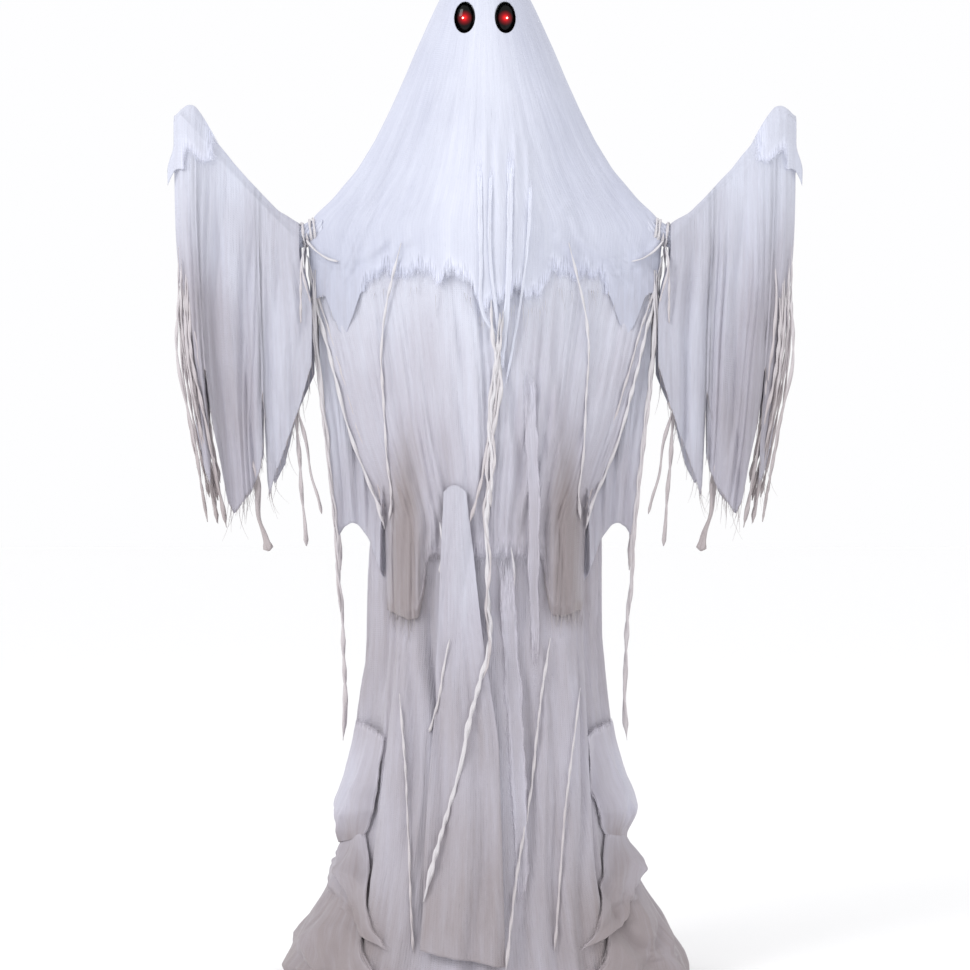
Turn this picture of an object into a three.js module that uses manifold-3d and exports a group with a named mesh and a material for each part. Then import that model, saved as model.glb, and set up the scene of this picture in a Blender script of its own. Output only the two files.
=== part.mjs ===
// A life-size rising ghost figure: a telescoping stand under torn gauze, with a turning head,
// lit eyes and raised forearms. Millimetres, +Z up, floor at z = 0, the front faces -Y.

import * as THREE from 'three';
import { mergeVertices } from 'three/addons/utils/BufferGeometryUtils.js';
import Module from 'manifold-3d';

const wasm = await Module();
wasm.setup();

// Clearances
const fitGap = 0.3; // between pieces that seat in each other
const runGap = 0.4; // between a shaft and its bore
const slideGap = 0.5; // between a slider and its tube
const layerGap = 3; // between one layer of cloth and the next
const cutOver = 2; // how far a cutting tool passes a face
const shortEdge = 0.05; // edges that a cut leaves shorter than this are closed up

// Height and travel. The heights from the chest upwards are drawn for one crown and stretch with it
const crownZ = 2068;
const drawnCrownZ = 2068;
const up = (height) => (height * crownZ) / drawnCrownZ;
const stretched = (stations) => stations.map(([height, ...sizes]) => [up(height), ...sizes]);
const liftTravel = 540;

// Base
const footThickness = 8;
const footWall = 3;
const footGrip = 28;
const railWidth = 25;
const railWall = 1.5;
const railLength = 340;
const railSpacing = 340;

// Mast socket and its lock
const socketPlate = 90;
const socketPlateThickness = 4;
const socketWall = 3;
const socketHeight = 84;
const socketCorner = 8;
const lockHeight = 48; // above the socket's plate
const lockRadius = 4;
const lockCollar = 7;
const lockCollarThickness = 2.2;
const lockReach = 5; // how far the button stands out of the socket
const springThickness = 0.8;
const springWidth = 12;
const springDrop = 42;
const springMargin = 2; // of the leaf beyond the button's collar

// Masts
const outerMastWidth = 60;
const outerMastWall = 2;
const outerMastTopZ = 800;
const innerMastWidth = 30;
const innerMastWall = 1.5;
const mastOverlap = 140;
const innerMastTopZ = up(1590);
const bushDepth = 30;
const bushFlange = 4;
const shoeCorner = 3; // of the bush's flange and the slider
const sliderHeight = 40;
const sliderFloor = 8;

// Rack and pinion
const gearModule = 2;
const dedendum = 1.25 * gearModule;
const pinionTeeth = 18;
const pressureAngle = THREE.MathUtils.degToRad(20);
const backlash = 0.25;
const rackBack = 4.5;
const rackWidth = 12;
const rackSpareTeeth = 9;
const pinionWidth = 14;
const pinionShaftRadius = 4;
const pinionRise = 40; // pinion axis above the outer mast's top
const shaftStub = 3; // how far the shaft stands out of the right cheek

// Drive bracket, gearbox and motor
const bracketWall = 3;
const bracketWidth = 34;
const bracketDrop = 110;
const cheekReach = 24; // beyond the pinion's axis
const cheekRise = 24; // above the pinion's axis
const cheekFoot = 30; // above the back plate's lower edge
const cheekCorner = 8;
const gearboxDepth = 46;
const gearboxWidth = 36;
const gearboxHeight = 62;
const gearboxCorner = 9;
const gearboxRib = 2.5; // how far the rib stands out
const gearboxRibWidth = 4;
const motorRadius = 17;
const motorLength = 78;
const motorBossRadius = 6;
const motorBossHeight = 3;
const motorChamfer = 2;
const motorTail = 5; // length and radius of the stub at the far end

// Control box
const boxWidth = 110;
const boxHeight = 150;
const boxDepth = 42;
const boxWall = 2.5;
const boxBottomZ = 440;
const boxCorner = 8;
const boardInset = 10;
const boardThickness = 1.6;
const boardStandoff = 12;
const boardChips = [[22, 14, 4, -12, -30], [12, 18, 8, 22, -26]]; // [width, height, rise, x, z]
const postRadius = 3.5;
const postInset = 6; // from the board's side edge
const postSeat = 0.5; // how far a post is rooted in the box's floor
const speakerRadius = 28;
const speakerDepth = 16;
const grilleSlots = 7;
const grilleSlot = 2.4;
const grilleMargin = 6; // inside the speaker's rim
const switchTravel = 6;
const switchWidth = 8;
const switchRise = 22; // above the box's lower edge
const shoeThickness = 2;
const knobHeight = 4; // above the lid
const jackRadius = 6;
const jackBore = 3.3;
const jackDepth = 16;
const jackFlange = 2.5;
const jackLip = 2.5; // of the flange beyond the barrel
const jackEnd = 3; // solid behind the bore

// Arms
const elbowX = 384;
const elbowZ = up(1506);
const shoulderX = 70;
const shoulderZ = up(1640);
const forearmTilt = THREE.MathUtils.degToRad(46.3);
const forearmLength = 300;
const drawnForearmLength = 300; // for which the sleeve is drawn; its reach stretches with the forearm
const stretchedReach = (reach) => (reach * forearmLength) / drawnForearmLength;
const upperArmRadius = 9;
const forearmRadius = 8;
const tubeWall = 1.5;
const armSides = 12;
const forkRadius = 14;
const forkCheek = 5;
const tongueThickness = 11.4;
const forkLength = 50;
const forkTaper = 2; // at the fork's root
const forkRoot = 8; // solid between the slot and the tube's socket
const cupLength = 28; // of the tongue's socket for the forearm
const cupWall = 3;
const tongueSeat = 6; // solid at the bottom of that socket
const pinRadius = 3;
const pinHead = 2;
const pinEnd = 2.5; // beyond the fork's far cheek
const handLength = 80;
const handWidth = 34;
const handThickness = 30;
const handGrip = 24; // how far the tube reaches into the hand
const thumbLength = 22;
const thumbThickness = 14;
const thumbAngle = 0.5;

// Chest
const blockWidth = 120;
const blockDepth = 50;
const blockBottomZ = up(1560);
const blockHeight = 84;
const blockCorner = 6;
const headMotorSize = 40;
const headMotorHeight = 52;
const headMotorBoss = 6; // height of the round boss
const headMotorBossRadius = 11;
const headMotorEar = 7; // reach of a mounting ear
const armSocketEnd = 22; // from the mast's axis to a tube's inner end
const torsoBottomZ = up(1420);
const torsoTopZ = up(1716);
const torsoWall = 3;
const robeTopZ = up(1560);
const bearingHeight = 10;
const bearingRim = 4; // height over the torso's neck
const bossRadius = 5; // of the torso shells' bosses
const bossRise = 40; // above the robe's top
const armHoleGap = 3; // round an arm where it leaves the torso

// Head
const templeZ = up(1960);
const headHalfWidth = 86;
const headHalfDepth = 98;
const headBottomZ = up(1800);
const headWall = 3;
const headColumns = 32;
const domeAngles = [8, 24, 40, 56, 74]; // of the rings of head and hood, from the crown
const neckShaftRadius = 6;
const hubThickness = 10;
const hubRise = 16; // above the head's lower edge
const hubPlate = 3;
const hubBoss = 6; // wall of the hub's boss
const hubWindowRadius = 12;
const hubWindowReach = 34;
const eyeX = 41;
const eyeZ = up(1939);
const eyeHalfWidth = 22;
const eyeHalfHeight = 33;
const eyeHalfDepth = 12;
const ledRadius = 2.5;
const ledLength = 21;
const ledProud = 0.8; // in front of the eye
const eyeTurn = THREE.MathUtils.degToRad(16); // of an eye's axis away from the front
const neckDraw = 0.36; // share by which the head narrows to its lower edge

// Cloth
const clothThickness = 2.5;
const seatGap = 0.4;
const hemZ = 12;
const robeColumns = 40;
const torsoColumns = robeColumns / 2;
const robeRows = 10;
const robeFoldCount = 8;
const robeSecondFoldCount = 6;
const robeSwing = 22; // of the folds at the hem
const bunchColumns = 10;
const bunchRows = 12;
const bunchFloor = 8; // above the robe's hem
const bunchRipple = 5;
const bunchTopZ = 546;
const bunchSeat = 0.7;
const shroudHemZ = up(1398);
const shroudPointDrop = 84;
const shroudPointWidth = 95;
const shroudFoldCount = 18;
const shroudSpreadStart = 100; // below the crown, where it starts to thin out over the arms
const shroudSpreadEnd = 420;
const shroudBodyHalf = 190;
const shroudRearPoint = 0.4; // of the front point's drop
const shroudSwing = 7;
const shroudRowZs = [1915, 1825, 1730, 1640, 1570, 1520].map(up); // below the dome, above the hem
const armLayerDepth = 36;
const sleeveColumns = 12;
const sleeveRows = 5;
const sleeveLean = 92; // how far the outer edge hangs inwards
const sleeveStandOff = 9; // of the lower edge from the arm, on the average
const sleeveWave = 7; // of the lower edge about that
const drapeOuterX = 330;
const drapeInnerX = 200;
const drapeColumns = 6;
const drapeRows = 5;
const drapeHighZ = up(948);
const drapeLowZ = up(866);
const drapeLowShare = 0.45; // where its lowest point is, from its outer edge inwards
const drapeBelly = 22; // how far its outer edge bows out halfway down
const drapeDrawIn = 26; // and is drawn in at the bottom
const drapeInnerDraw = 40; // how far its inner edge moves outwards at the bottom
const drapeStandOff = 10;
const drapeWave = 5;
const drapeProbe = 14; // half the width over which the robe in front of it is felt for
const panelTopZ = up(1004);
const panelCrown = 14; // drop of the panel's top corners
const panelEdges = [[-76, -36], [-120, 38]]; // x of its left and right edge, at the top and at the hem
const panelHemZs = [94, 66]; // at its left and right corner
const panelColumns = 4;
const panelRows = 12;
const strandRadius = 7;
const strandSides = 3; // a third of a strand's facets
const strandStep = 60; // between one ring of a strand and the next
const strandEndX = 277;
const strandEndZ = up(566);
// The centre rope's route on the robe's front: [x, z]
const ropeRoute = [
  [30, 1300], [16, 1160], [8, 1040], [0, 914], [4, 790], [8, 694], [-20, 560], [-50, 440],
  [-90, 300], [-120, 190],
].map(([x, height]) => [x, up(height)]);

// Torso and robe outlines: [height, half width, half depth]
const torsoStations = stretched([
  [1420, 130, 74], [1560, 150, 84], [1620, 132, 76], [1664, 92, 62], [1692, 52, 50], [1716, 46, 46],
]);
const robeStations = [
  [12, 318, 262], [100, 292, 240], [250, 262, 216], [400, 246, 188], [546, 240, 164],
  ...stretched([[700, 229, 146], [900, 222, 132], [1200, 200, 120], [1400, 174, 104], [1560, 153.3, 87.3]]),
];
// Spare cloth at the sides of the base: [height, how far it stands out from the robe]
const bunchStations = [
  [24, 92], [54, 88], [84, 82], [114, 70], [147, 58], [174, 46], [207, 34], [250, 38], [274, 30],
  [300, 14], [330, 22], [354, 48], [400, 40], [430, 38], [486, 30], [510, 12], [540, 3],
];
// Shroud below the dome of the head: [height, half width, half depth]
const shroudStations = stretched([
  [1300, 352, 144], [1398, 356, 142], [1480, 358, 138], [1524, 366, 134], [1554, 337, 130],
  [1584, 302, 128], [1614, 276, 127], [1644, 250, 126], [1704, 215, 125], [1764, 186, 123],
  [1824, 160, 121], [1884, 135, 117], [1944, 109, 111], [1974, 97, 106], [2000, 87.5, 99],
]);
// Ridge of a sleeve: [reach beyond the elbow, rise above the arm's axis, half thickness]
const sleeveRidge = [
  [-8, 38, 20], [16, 26, 17], [36, 18.5, 13.5], [74, 16, 11], [124, 16, 11], [162, 27, 20],
  [192, 47, 29], [206, 50, 30], [222, 35, 26], [248, -18, 14],
].map(([reach, ...sizes]) => [stretchedReach(reach), ...sizes]);
// Lower edge of a sleeve: [reach beyond the elbow at the ridge, height]
const sleeveFrontEdge = [
  [-8, 1250], [14, 1174], [30, 1080], [48, 1168], [66, 990], [84, 868], [98, 1030], [126, 975],
  [160, 952], [196, 912], [214, 1034], [232, 1110], [248, 1180],
].map(([reach, height]) => [stretchedReach(reach), up(height)]);
const sleeveBackEdge = [
  [-8, 1230], [40, 1130], [90, 1010], [130, 1040], [180, 940], [220, 1090], [248, 1200],
].map(([reach, height]) => [stretchedReach(reach), up(height)]);

// Materials
function material(color, roughness, metalness = 0) {
  return new THREE.MeshStandardMaterial({ color, roughness, metalness });
}
const blackSteel = () => material(0x26272a, 0.55, 0.6);
const zincSteel = () => material(0xa9adb1, 0.38, 0.9);
const aluminium = () => material(0xb9bcc0, 0.35, 0.9);
const blackPlastic = () => material(0x1b1c1e, 0.5);
const greyPlastic = () => material(0x55585c, 0.55);
const whiteNylon = () => material(0xe4e2da, 0.45);
const rubber = () => material(0x141414, 0.85);
const headPlastic = () => material(0xcfd2d8, 0.6);
const blackGloss = () => material(0x050506, 0.06);
const redLight = () => material(0xff2a1e, 0.2);
const boardGreen = () => material(0x1f5a38, 0.5);
const paleGauze = () => material(0xdfe2f0, 0.95);
const greyGauze = () => material(0xb9b4bd, 0.95);
const brownGauze = () => material(0xa0969a, 0.95);

// Solids for boolean cuts and joins
function toSolid(geometry) {
  const bare = geometry.clone();
  bare.deleteAttribute('normal');
  bare.deleteAttribute('uv');
  const merged = mergeVertices(bare, 1e-4);
  return new wasm.Manifold(new wasm.Mesh({
    numProp: 3,
    vertProperties: Float32Array.from(merged.attributes.position.array),
    triVerts: Uint32Array.from(merged.index.array),
  }));
}

function toGeometry(solid) {
  const mesh = solid.getMesh();
  const geometry = new THREE.BufferGeometry();
  geometry.setAttribute('position', new THREE.BufferAttribute(mesh.vertProperties, 3));
  geometry.setIndex(new THREE.BufferAttribute(mesh.triVerts, 1));
  geometry.computeVertexNormals();
  return geometry;
}

function cut(geometry, ...tools) {
  return toGeometry(tools.reduce((solid, tool) => solid.subtract(toSolid(tool)), toSolid(geometry)));
}

function join(geometry, ...others) {
  return toGeometry(others.reduce((solid, other) => solid.add(toSolid(other)), toSolid(geometry)));
}

// Closes up the short edges that a cut or a join leaves
function tidied(geometry) {
  return toGeometry(toSolid(geometry).simplify(shortEdge));
}

// Basic forms
function box(width, depth, height, x = 0, y = 0, z = 0) {
  return new THREE.BoxGeometry(width, depth, height).translate(x, y, z);
}

// A box that stands on z
function block(width, depth, height, z = 0) {
  return box(width, depth, height, 0, 0, z + height / 2);
}

function cylinderX(radius, length, sides = 16) {
  return new THREE.CylinderGeometry(radius, radius, length, sides).rotateZ(Math.PI / 2);
}

function cylinderY(radius, length, sides = 16) {
  return new THREE.CylinderGeometry(radius, radius, length, sides);
}

function cylinderZ(radius, length, sides = 16) {
  return new THREE.CylinderGeometry(radius, radius, length, sides).rotateX(Math.PI / 2);
}

// A rectangle with round corners, centred on the origin
function roundedRectangle(width, height, corner) {
  const x = width / 2 - corner;
  const y = height / 2 - corner;
  const shape = new THREE.Shape();
  shape.absarc(x, y, corner, 0, Math.PI / 2);
  shape.absarc(-x, y, corner, Math.PI / 2, Math.PI);
  shape.absarc(-x, -y, corner, Math.PI, Math.PI * 1.5);
  shape.absarc(x, -y, corner, Math.PI * 1.5, Math.PI * 2);
  return shape;
}

function polygon(points) {
  return new THREE.Shape(points.map(([x, y]) => new THREE.Vector2(x, y)));
}

// Extrudes an outline over a depth, from the plane z = 0 upwards
function extrude(shape, depth, curveSegments = 3) {
  return new THREE.ExtrudeGeometry(shape, { depth, bevelEnabled: false, curveSegments });
}

// A body turned about Y from a profile of [radius, height] that closes on the axis or on itself
function turned(profile, sides) {
  return new THREE.LatheGeometry(profile.map(([radius, y]) => new THREE.Vector2(radius, y)), sides);
}

// Turns an extrusion so that its outline's x and y become the model's y and z, centred across x
function acrossX(geometry, depth) {
  return geometry.translate(0, 0, -depth / 2)
    .applyMatrix4(new THREE.Matrix4().set(0, 0, 1, 0, 1, 0, 0, 0, 0, 1, 0, 0, 0, 0, 0, 1));
}

// Turns an extrusion upright: its outline's y becomes the model's z and it runs towards -Y
function upright(geometry) {
  return geometry.rotateX(Math.PI / 2);
}

// A square tube that runs up from z = 0
function squareTube(width, wall, length) {
  const bore = width - 2 * wall;
  return cut(block(width, width, length), block(bore, bore, length + 2 * cutOver, -cutOver));
}

// A value between stations that are sorted by their first number
function between(stations, at, index) {
  const last = stations.length - 1;
  if (at <= stations[0][0]) return stations[0][index];
  if (at >= stations[last][0]) return stations[last][index];
  const high = stations.findIndex((station) => station[0] > at);
  const low = stations[high - 1];
  const share = (at - low[0]) / (stations[high][0] - low[0]);
  return low[index] + share * (stations[high][index] - low[index]);
}

// A point on an oval; a squareness above 1 fills the oval's corners
function ovalPoint(turn, halfWidth, halfDepth, z, squareness = 1) {
  const angle = turn * Math.PI * 2;
  const power = 1 / squareness;
  const c = Math.cos(angle);
  const s = Math.sin(angle);
  return new THREE.Vector3(
    halfWidth * Math.sign(c) * Math.abs(c) ** power,
    halfDepth * Math.sign(s) * Math.abs(s) ** power,
    z,
  );
}

function ovalRing(count, halfWidth, halfDepth, z) {
  return Array.from({ length: count }, (_, i) => ovalPoint(i / count, halfWidth, halfDepth, z));
}

// A closed body through rings of points, with flat or pointed ends
function loft(rings) {
  const count = rings[0].length;
  const points = rings.flat();
  const faces = [];
  for (let row = 0; row < rings.length - 1; row += 1) {
    for (let i = 0; i < count; i += 1) {
      const a = row * count + i;
      const b = row * count + ((i + 1) % count);
      faces.push([a, b, b + count], [a, b + count, a + count]);
    }
  }
  const bottom = points.length;
  points.push(centroid(rings[0]), centroid(rings[rings.length - 1]));
  const topStart = (rings.length - 1) * count;
  for (let i = 0; i < count; i += 1) {
    const next = (i + 1) % count;
    faces.push([bottom, next, i], [bottom + 1, topStart + i, topStart + next]);
  }
  return fromFaces(points, faces);
}

function centroid(points) {
  const sum = points.reduce((total, point) => total.add(point), new THREE.Vector3());
  return sum.divideScalar(points.length);
}

function fromFaces(points, faces) {
  const geometry = new THREE.BufferGeometry();
  const values = points.flatMap((point) => point.toArray());
  geometry.setAttribute('position', new THREE.Float32BufferAttribute(values, 3));
  geometry.setIndex(faces.flat());
  geometry.computeVertexNormals();
  return geometry;
}

// A sheet with a thickness. point(u, v) gives its outer face; u runs round or along, v runs down.
// The inner face lies one thickness behind, along the surface's own normal. A sheet that runs
// all round may be closed over its top by a pole.
function sheet(point, columns, rows, thickness, { around = false, pole = null } = {}) {
  const across = around ? columns : columns + 1;
  const outer = [];
  for (let j = 0; j <= rows; j += 1) {
    for (let i = 0; i < across; i += 1) outer.push(point(i / columns, j / rows));
  }
  const column = (i) => (around ? (i + columns) % columns : THREE.MathUtils.clamp(i, 0, columns));
  const at = (i, j) => outer[THREE.MathUtils.clamp(j, 0, rows) * across + column(i)];
  const inner = outer.map((corner, index) => {
    const i = index % across;
    const j = Math.floor(index / across);
    const along = new THREE.Vector3().subVectors(at(i + 1, j), at(i - 1, j));
    const down = new THREE.Vector3().subVectors(at(i, j + 1), at(i, j - 1));
    return corner.clone().addScaledVector(down.cross(along).normalize(), -thickness);
  });
  const points = [...outer, ...inner];
  const behind = outer.length;
  const key = (i, j) => j * across + column(i);
  const faces = [];
  for (let j = 0; j < rows; j += 1) {
    for (let i = 0; i < columns; i += 1) {
      const [a, b, c, d] = [key(i, j), key(i + 1, j), key(i + 1, j + 1), key(i, j + 1)];
      faces.push([a, d, b], [b, d, c]);
      faces.push([a + behind, b + behind, d + behind], [b + behind, c + behind, d + behind]);
    }
  }
  const wall = (from, to) => {
    faces.push([from, to, to + behind], [from, to + behind, from + behind]);
  };
  for (let i = 0; i < columns; i += 1) {
    if (!pole) wall(key(i, 0), key(i + 1, 0));
    wall(key(i + 1, rows), key(i, rows));
  }
  if (pole) {
    const top = points.length;
    points.push(pole.clone(), pole.clone().setZ(pole.z - thickness));
    for (let i = 0; i < columns; i += 1) {
      faces.push([key(i, 0), key(i + 1, 0), top]);
      faces.push([key(i + 1, 0) + behind, key(i, 0) + behind, top + 1]);
    }
  }
  if (!around) {
    for (let j = 0; j < rows; j += 1) {
      wall(key(0, j + 1), key(0, j));
      wall(key(columns, j), key(columns, j + 1));
    }
  }
  return fromFaces(points, faces);
}

function mirrored(geometry) {
  const copy = geometry.clone().scale(-1, 1, 1);
  const index = copy.index.array;
  for (let i = 0; i < index.length; i += 3) [index[i], index[i + 1]] = [index[i + 1], index[i]];
  copy.computeVertexNormals();
  return copy;
}

// The lowest y at which a probe from the front meets the given bodies near (x, z)
function frontOf(bodies, x, z, reach) {
  const probe = new THREE.Raycaster();
  const meetings = [];
  for (const dx of [-reach, 0, reach]) {
    for (const dz of [-reach, 0, reach]) {
      probe.set(new THREE.Vector3(x + dx, -2 * crownZ, z + dz), new THREE.Vector3(0, 1, 0));
      const hit = probe.intersectObjects(bodies, false)[0];
      if (hit) meetings.push(hit.point.y);
    }
  }
  return Math.min(...meetings);
}

function probeBody(geometry) {
  return new THREE.Mesh(geometry, new THREE.MeshBasicMaterial({ side: THREE.DoubleSide }));
}

function part(name, geometry, finish) {
  const mesh = new THREE.Mesh(geometry, finish);
  mesh.name = name;
  return mesh;
}

// Sizes that follow from the driving dimensions
const railBottomZ = footThickness + fitGap;
const railTopZ = railBottomZ + railWidth;
const plateTopZ = railTopZ + socketPlateThickness;
const outerMastBore = outerMastWidth - 2 * outerMastWall;
const innerMastBottomZ = outerMastTopZ - mastOverlap;
const rackPitchY = innerMastWidth / 2 + rackBack + dedendum;
const pinionRadius = (gearModule * pinionTeeth) / 2;
const pinionY = rackPitchY + pinionRadius;
const pinionZ = outerMastTopZ + pinionRise;
const toothPitch = Math.PI * gearModule;
const lockZ = plateTopZ + lockHeight;
const mastBackY = outerMastWidth / 2;
const motorY = mastBackY + motorRadius + 1;
const boxMiddleZ = boxBottomZ + boxHeight / 2;
const boxBackY = mastBackY + boxDepth;
const boardY = mastBackY + boxWall - postSeat + boardStandoff;
const jackY = boardY + boardThickness + jackRadius + jackLip + fitGap;
const jackX = boxWidth / 4;
const switchZ = boxBottomZ + switchRise;
const speakerZ = boxMiddleZ + speakerRadius / 2;
const blockTopZ = blockBottomZ + blockHeight;
const armRun = elbowX - shoulderX;
const armDrop = shoulderZ - elbowZ;
const armSlope = Math.atan2(armDrop, armRun);
const armLength = Math.hypot(armRun, armDrop);
const armTubeEnd = armLength + shoulderX - armSocketEnd; // from the elbow
const forkSlot = tongueThickness + 2 * fitGap;
const handSeat = forearmLength - handLength / 2 + handGrip; // the forearm tube's end, from the elbow
const headMotorTopZ = blockTopZ + headMotorHeight;
const hubZ = headBottomZ + hubRise;
const headTopZ = crownZ - clothThickness - seatGap;

// Base
function rail(side) {
  const tube = squareTube(railWidth, railWall, railLength).rotateX(Math.PI / 2);
  return tube.translate((side * railSpacing) / 2, railLength / 2, railBottomZ + railWidth / 2);
}

function crossTube() {
  const length = railSpacing - railWidth - 2 * fitGap;
  const tube = squareTube(railWidth, railWall, length).rotateY(Math.PI / 2);
  return tube.translate(-length / 2, 0, railBottomZ + railWidth / 2);
}

// A rubber cap over a rail's end, with a foot pad under it
function footCap(side, end) {
  const width = railWidth + 2 * (fitGap + footWall);
  const depth = footGrip + footWall;
  const height = footThickness + railWidth + 2 * fitGap + footWall;
  const pocket = railWidth + 2 * fitGap;
  const outline = extrude(roundedRectangle(width, depth, footWall), height, 2);
  const holeY = -(footWall + cutOver) / 2;
  const hole = box(pocket, footGrip + cutOver, pocket, 0, holeY, footThickness + pocket / 2);
  const cap = cut(outline, hole);
  if (end < 0) cap.rotateZ(Math.PI);
  const outerFace = railLength / 2 + fitGap + footWall;
  return cap.translate((side * railSpacing) / 2, end * (outerFace - depth / 2), 0);
}

// A square sleeve on a plate, with a hole in front for the lock button
function mastSocket() {
  const bore = outerMastWidth + 2 * fitGap;
  const outer = bore + 2 * socketWall;
  const plate = extrude(roundedRectangle(socketPlate, socketPlate, socketCorner), socketPlateThickness);
  const sleeve = block(outer, outer, socketHeight, socketPlateThickness / 2);
  const hollow = block(bore, bore, socketHeight + cutOver, socketPlateThickness);
  const hole = cylinderY(lockRadius + runGap, 4 * socketWall);
  hole.translate(0, -outer / 2, socketPlateThickness + lockHeight);
  return cut(join(plate, sleeve), hollow, hole).translate(0, 0, railTopZ);
}

function outerMast() {
  const tube = squareTube(outerMastWidth, outerMastWall, outerMastTopZ - plateTopZ);
  const hole = cylinderY(lockRadius + runGap, 4 * outerMastWall);
  hole.translate(0, -outerMastWidth / 2, lockHeight);
  return cut(tube, hole).translate(0, 0, plateTopZ);
}

// A domed pin with a collar behind the mast's wall
function lockButton() {
  const collarY = outerMastBore / 2 - fitGap;
  const tip = outerMastWidth / 2 + fitGap + socketWall + lockReach;
  const crown = lockRadius / 2;
  return turned([
    [0, collarY - lockCollarThickness], [lockCollar, collarY - lockCollarThickness], [lockCollar, collarY],
    [lockRadius, collarY], [lockRadius, tip - crown], [lockRadius * 0.65, tip - crown / 4], [0, tip],
  ], 12).rotateX(Math.PI).translate(0, 0, lockZ);
}

// A leaf bent to a V inside the mast, one leg behind the button and one on the far wall
function lockSpring() {
  const front = -(outerMastBore / 2 - fitGap - lockCollarThickness - fitGap);
  const back = outerMastBore / 2 - fitGap;
  const top = lockCollar + springMargin;
  const inside = front + springThickness;
  const outline = polygon([
    [front, top], [front, -top], [0, -springDrop], [back, top], [back - springThickness, top],
    [0, -springDrop + 2 * springThickness], [inside, -top], [inside, top],
  ]);
  return acrossX(extrude(outline, springWidth), springWidth).translate(0, 0, lockZ);
}

// A bush in the outer mast's mouth; its bore lets the rack pass behind the inner mast
function guideBush() {
  const bore = innerMastWidth + 2 * fitGap;
  const slotWidth = rackWidth + 2 * slideGap;
  const slotDepth = rackBack + dedendum + gearModule + slideGap;
  const plug = outerMastBore - 2 * fitGap;
  const body = block(plug, plug, bushDepth + bushFlange, -bushDepth);
  const flange = extrude(roundedRectangle(outerMastWidth, outerMastWidth, shoeCorner), bushFlange);
  const hole = block(bore, bore, bushDepth + 2 * bushFlange, -bushDepth - cutOver);
  const slot = box(slotWidth, 2 * slotDepth, bushDepth + 4 * bushFlange, 0, innerMastWidth / 2, 0);
  const longSlot = slot.clone().translate(0, 0, -bushDepth);
  return cut(join(body, flange), hole, slot, longSlot).translate(0, 0, outerMastTopZ);
}

// The lift's rack, on the inner mast's rear: its outline lies in the plane of y and z
function liftRack() {
  const count = Math.round(liftTravel / toothPitch) + rackSpareTeeth;
  const rootY = rackPitchY - dedendum;
  const tipY = rackPitchY + gearModule;
  const rootHalf = toothPitch / 4 - backlash / 2 + dedendum * Math.tan(pressureAngle);
  const tipHalf = toothPitch / 4 - backlash / 2 - gearModule * Math.tan(pressureAngle);
  const startZ = pinionZ - (rackSpareTeeth / 2) * toothPitch;
  const points = [[innerMastWidth / 2, startZ], [innerMastWidth / 2, startZ + count * toothPitch]];
  for (let i = count - 1; i >= 0; i -= 1) {
    const middle = startZ + (i + 0.5) * toothPitch;
    points.push([rootY, middle + rootHalf], [tipY, middle + tipHalf], [tipY, middle - tipHalf]);
    points.push([rootY, middle - rootHalf]);
  }
  points.splice(2, 0, [rootY, startZ + count * toothPitch]);
  points.push([rootY, startZ]);
  return acrossX(extrude(polygon(points), rackWidth), rackWidth);
}

// Half of a tooth's angle at a radius, from the involute of the base circle
function toothHalfAngle(radius) {
  const baseRadius = pinionRadius * Math.cos(pressureAngle);
  const involute = (angle) => Math.tan(angle) - angle;
  const atPitch = Math.PI / (2 * pinionTeeth) - backlash / (2 * pinionRadius);
  const angle = Math.acos(Math.min(1, baseRadius / Math.max(radius, baseRadius)));
  return atPitch + involute(pressureAngle) - involute(angle);
}

// The pinion's outline, with a tooth space facing the rack
function pinionOutline() {
  const rootRadius = pinionRadius - dedendum;
  const tipRadius = pinionRadius + gearModule;
  const baseRadius = pinionRadius * Math.cos(pressureAngle);
  const radii = [rootRadius, baseRadius, pinionRadius + gearModule / 4, tipRadius];
  const points = [];
  for (let tooth = 0; tooth < pinionTeeth; tooth += 1) {
    const middle = Math.PI + ((tooth + 0.5) * 2 * Math.PI) / pinionTeeth;
    for (const radius of radii) {
      const angle = middle - toothHalfAngle(radius);
      points.push([radius * Math.cos(angle), radius * Math.sin(angle)]);
    }
    for (const radius of [...radii].reverse()) {
      const angle = middle + toothHalfAngle(radius);
      points.push([radius * Math.cos(angle), radius * Math.sin(angle)]);
    }
  }
  return polygon(points);
}

function drivePinion() {
  const gear = acrossX(extrude(pinionOutline(), pinionWidth), pinionWidth);
  const bore = cylinderX(pinionShaftRadius + fitGap, pinionWidth + 2 * cutOver);
  return cut(gear, bore).translate(0, pinionY, pinionZ);
}

function pinionShaft() {
  const left = bracketWidth / 2 + gearboxWidth / 2;
  const right = bracketWidth / 2 + shaftStub;
  return cylinderX(pinionShaftRadius, left + right).translate((right - left) / 2, pinionY, pinionZ);
}

// Two cheeks on a back plate that is fixed to the outer mast's rear
function driveBracket() {
  const bottomZ = outerMastTopZ - bracketDrop;
  const plate = block(bracketWidth, bracketWall, bracketDrop, bottomZ);
  plate.translate(0, mastBackY + bracketWall / 2, 0);
  const farY = pinionY + cheekReach;
  const topZ = pinionZ + cheekRise;
  const footZ = bottomZ + cheekFoot;
  const outline = polygon([
    [mastBackY, footZ], [mastBackY + bracketWall, footZ], [farY, pinionZ - cheekRise],
    [farY, topZ - cheekCorner], [farY - cheekCorner, topZ], [mastBackY + cheekCorner, topZ],
    [mastBackY, topZ - cheekCorner],
  ]);
  const cheek = acrossX(extrude(outline, bracketWall), bracketWall);
  const offset = (bracketWidth - bracketWall) / 2;
  const bore = cylinderX(pinionShaftRadius + runGap, bracketWidth + 2 * cutOver);
  bore.translate(0, pinionY, pinionZ);
  return cut(join(plate, cheek.clone().translate(offset, 0, 0), cheek.translate(-offset, 0, 0)), bore);
}

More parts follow.
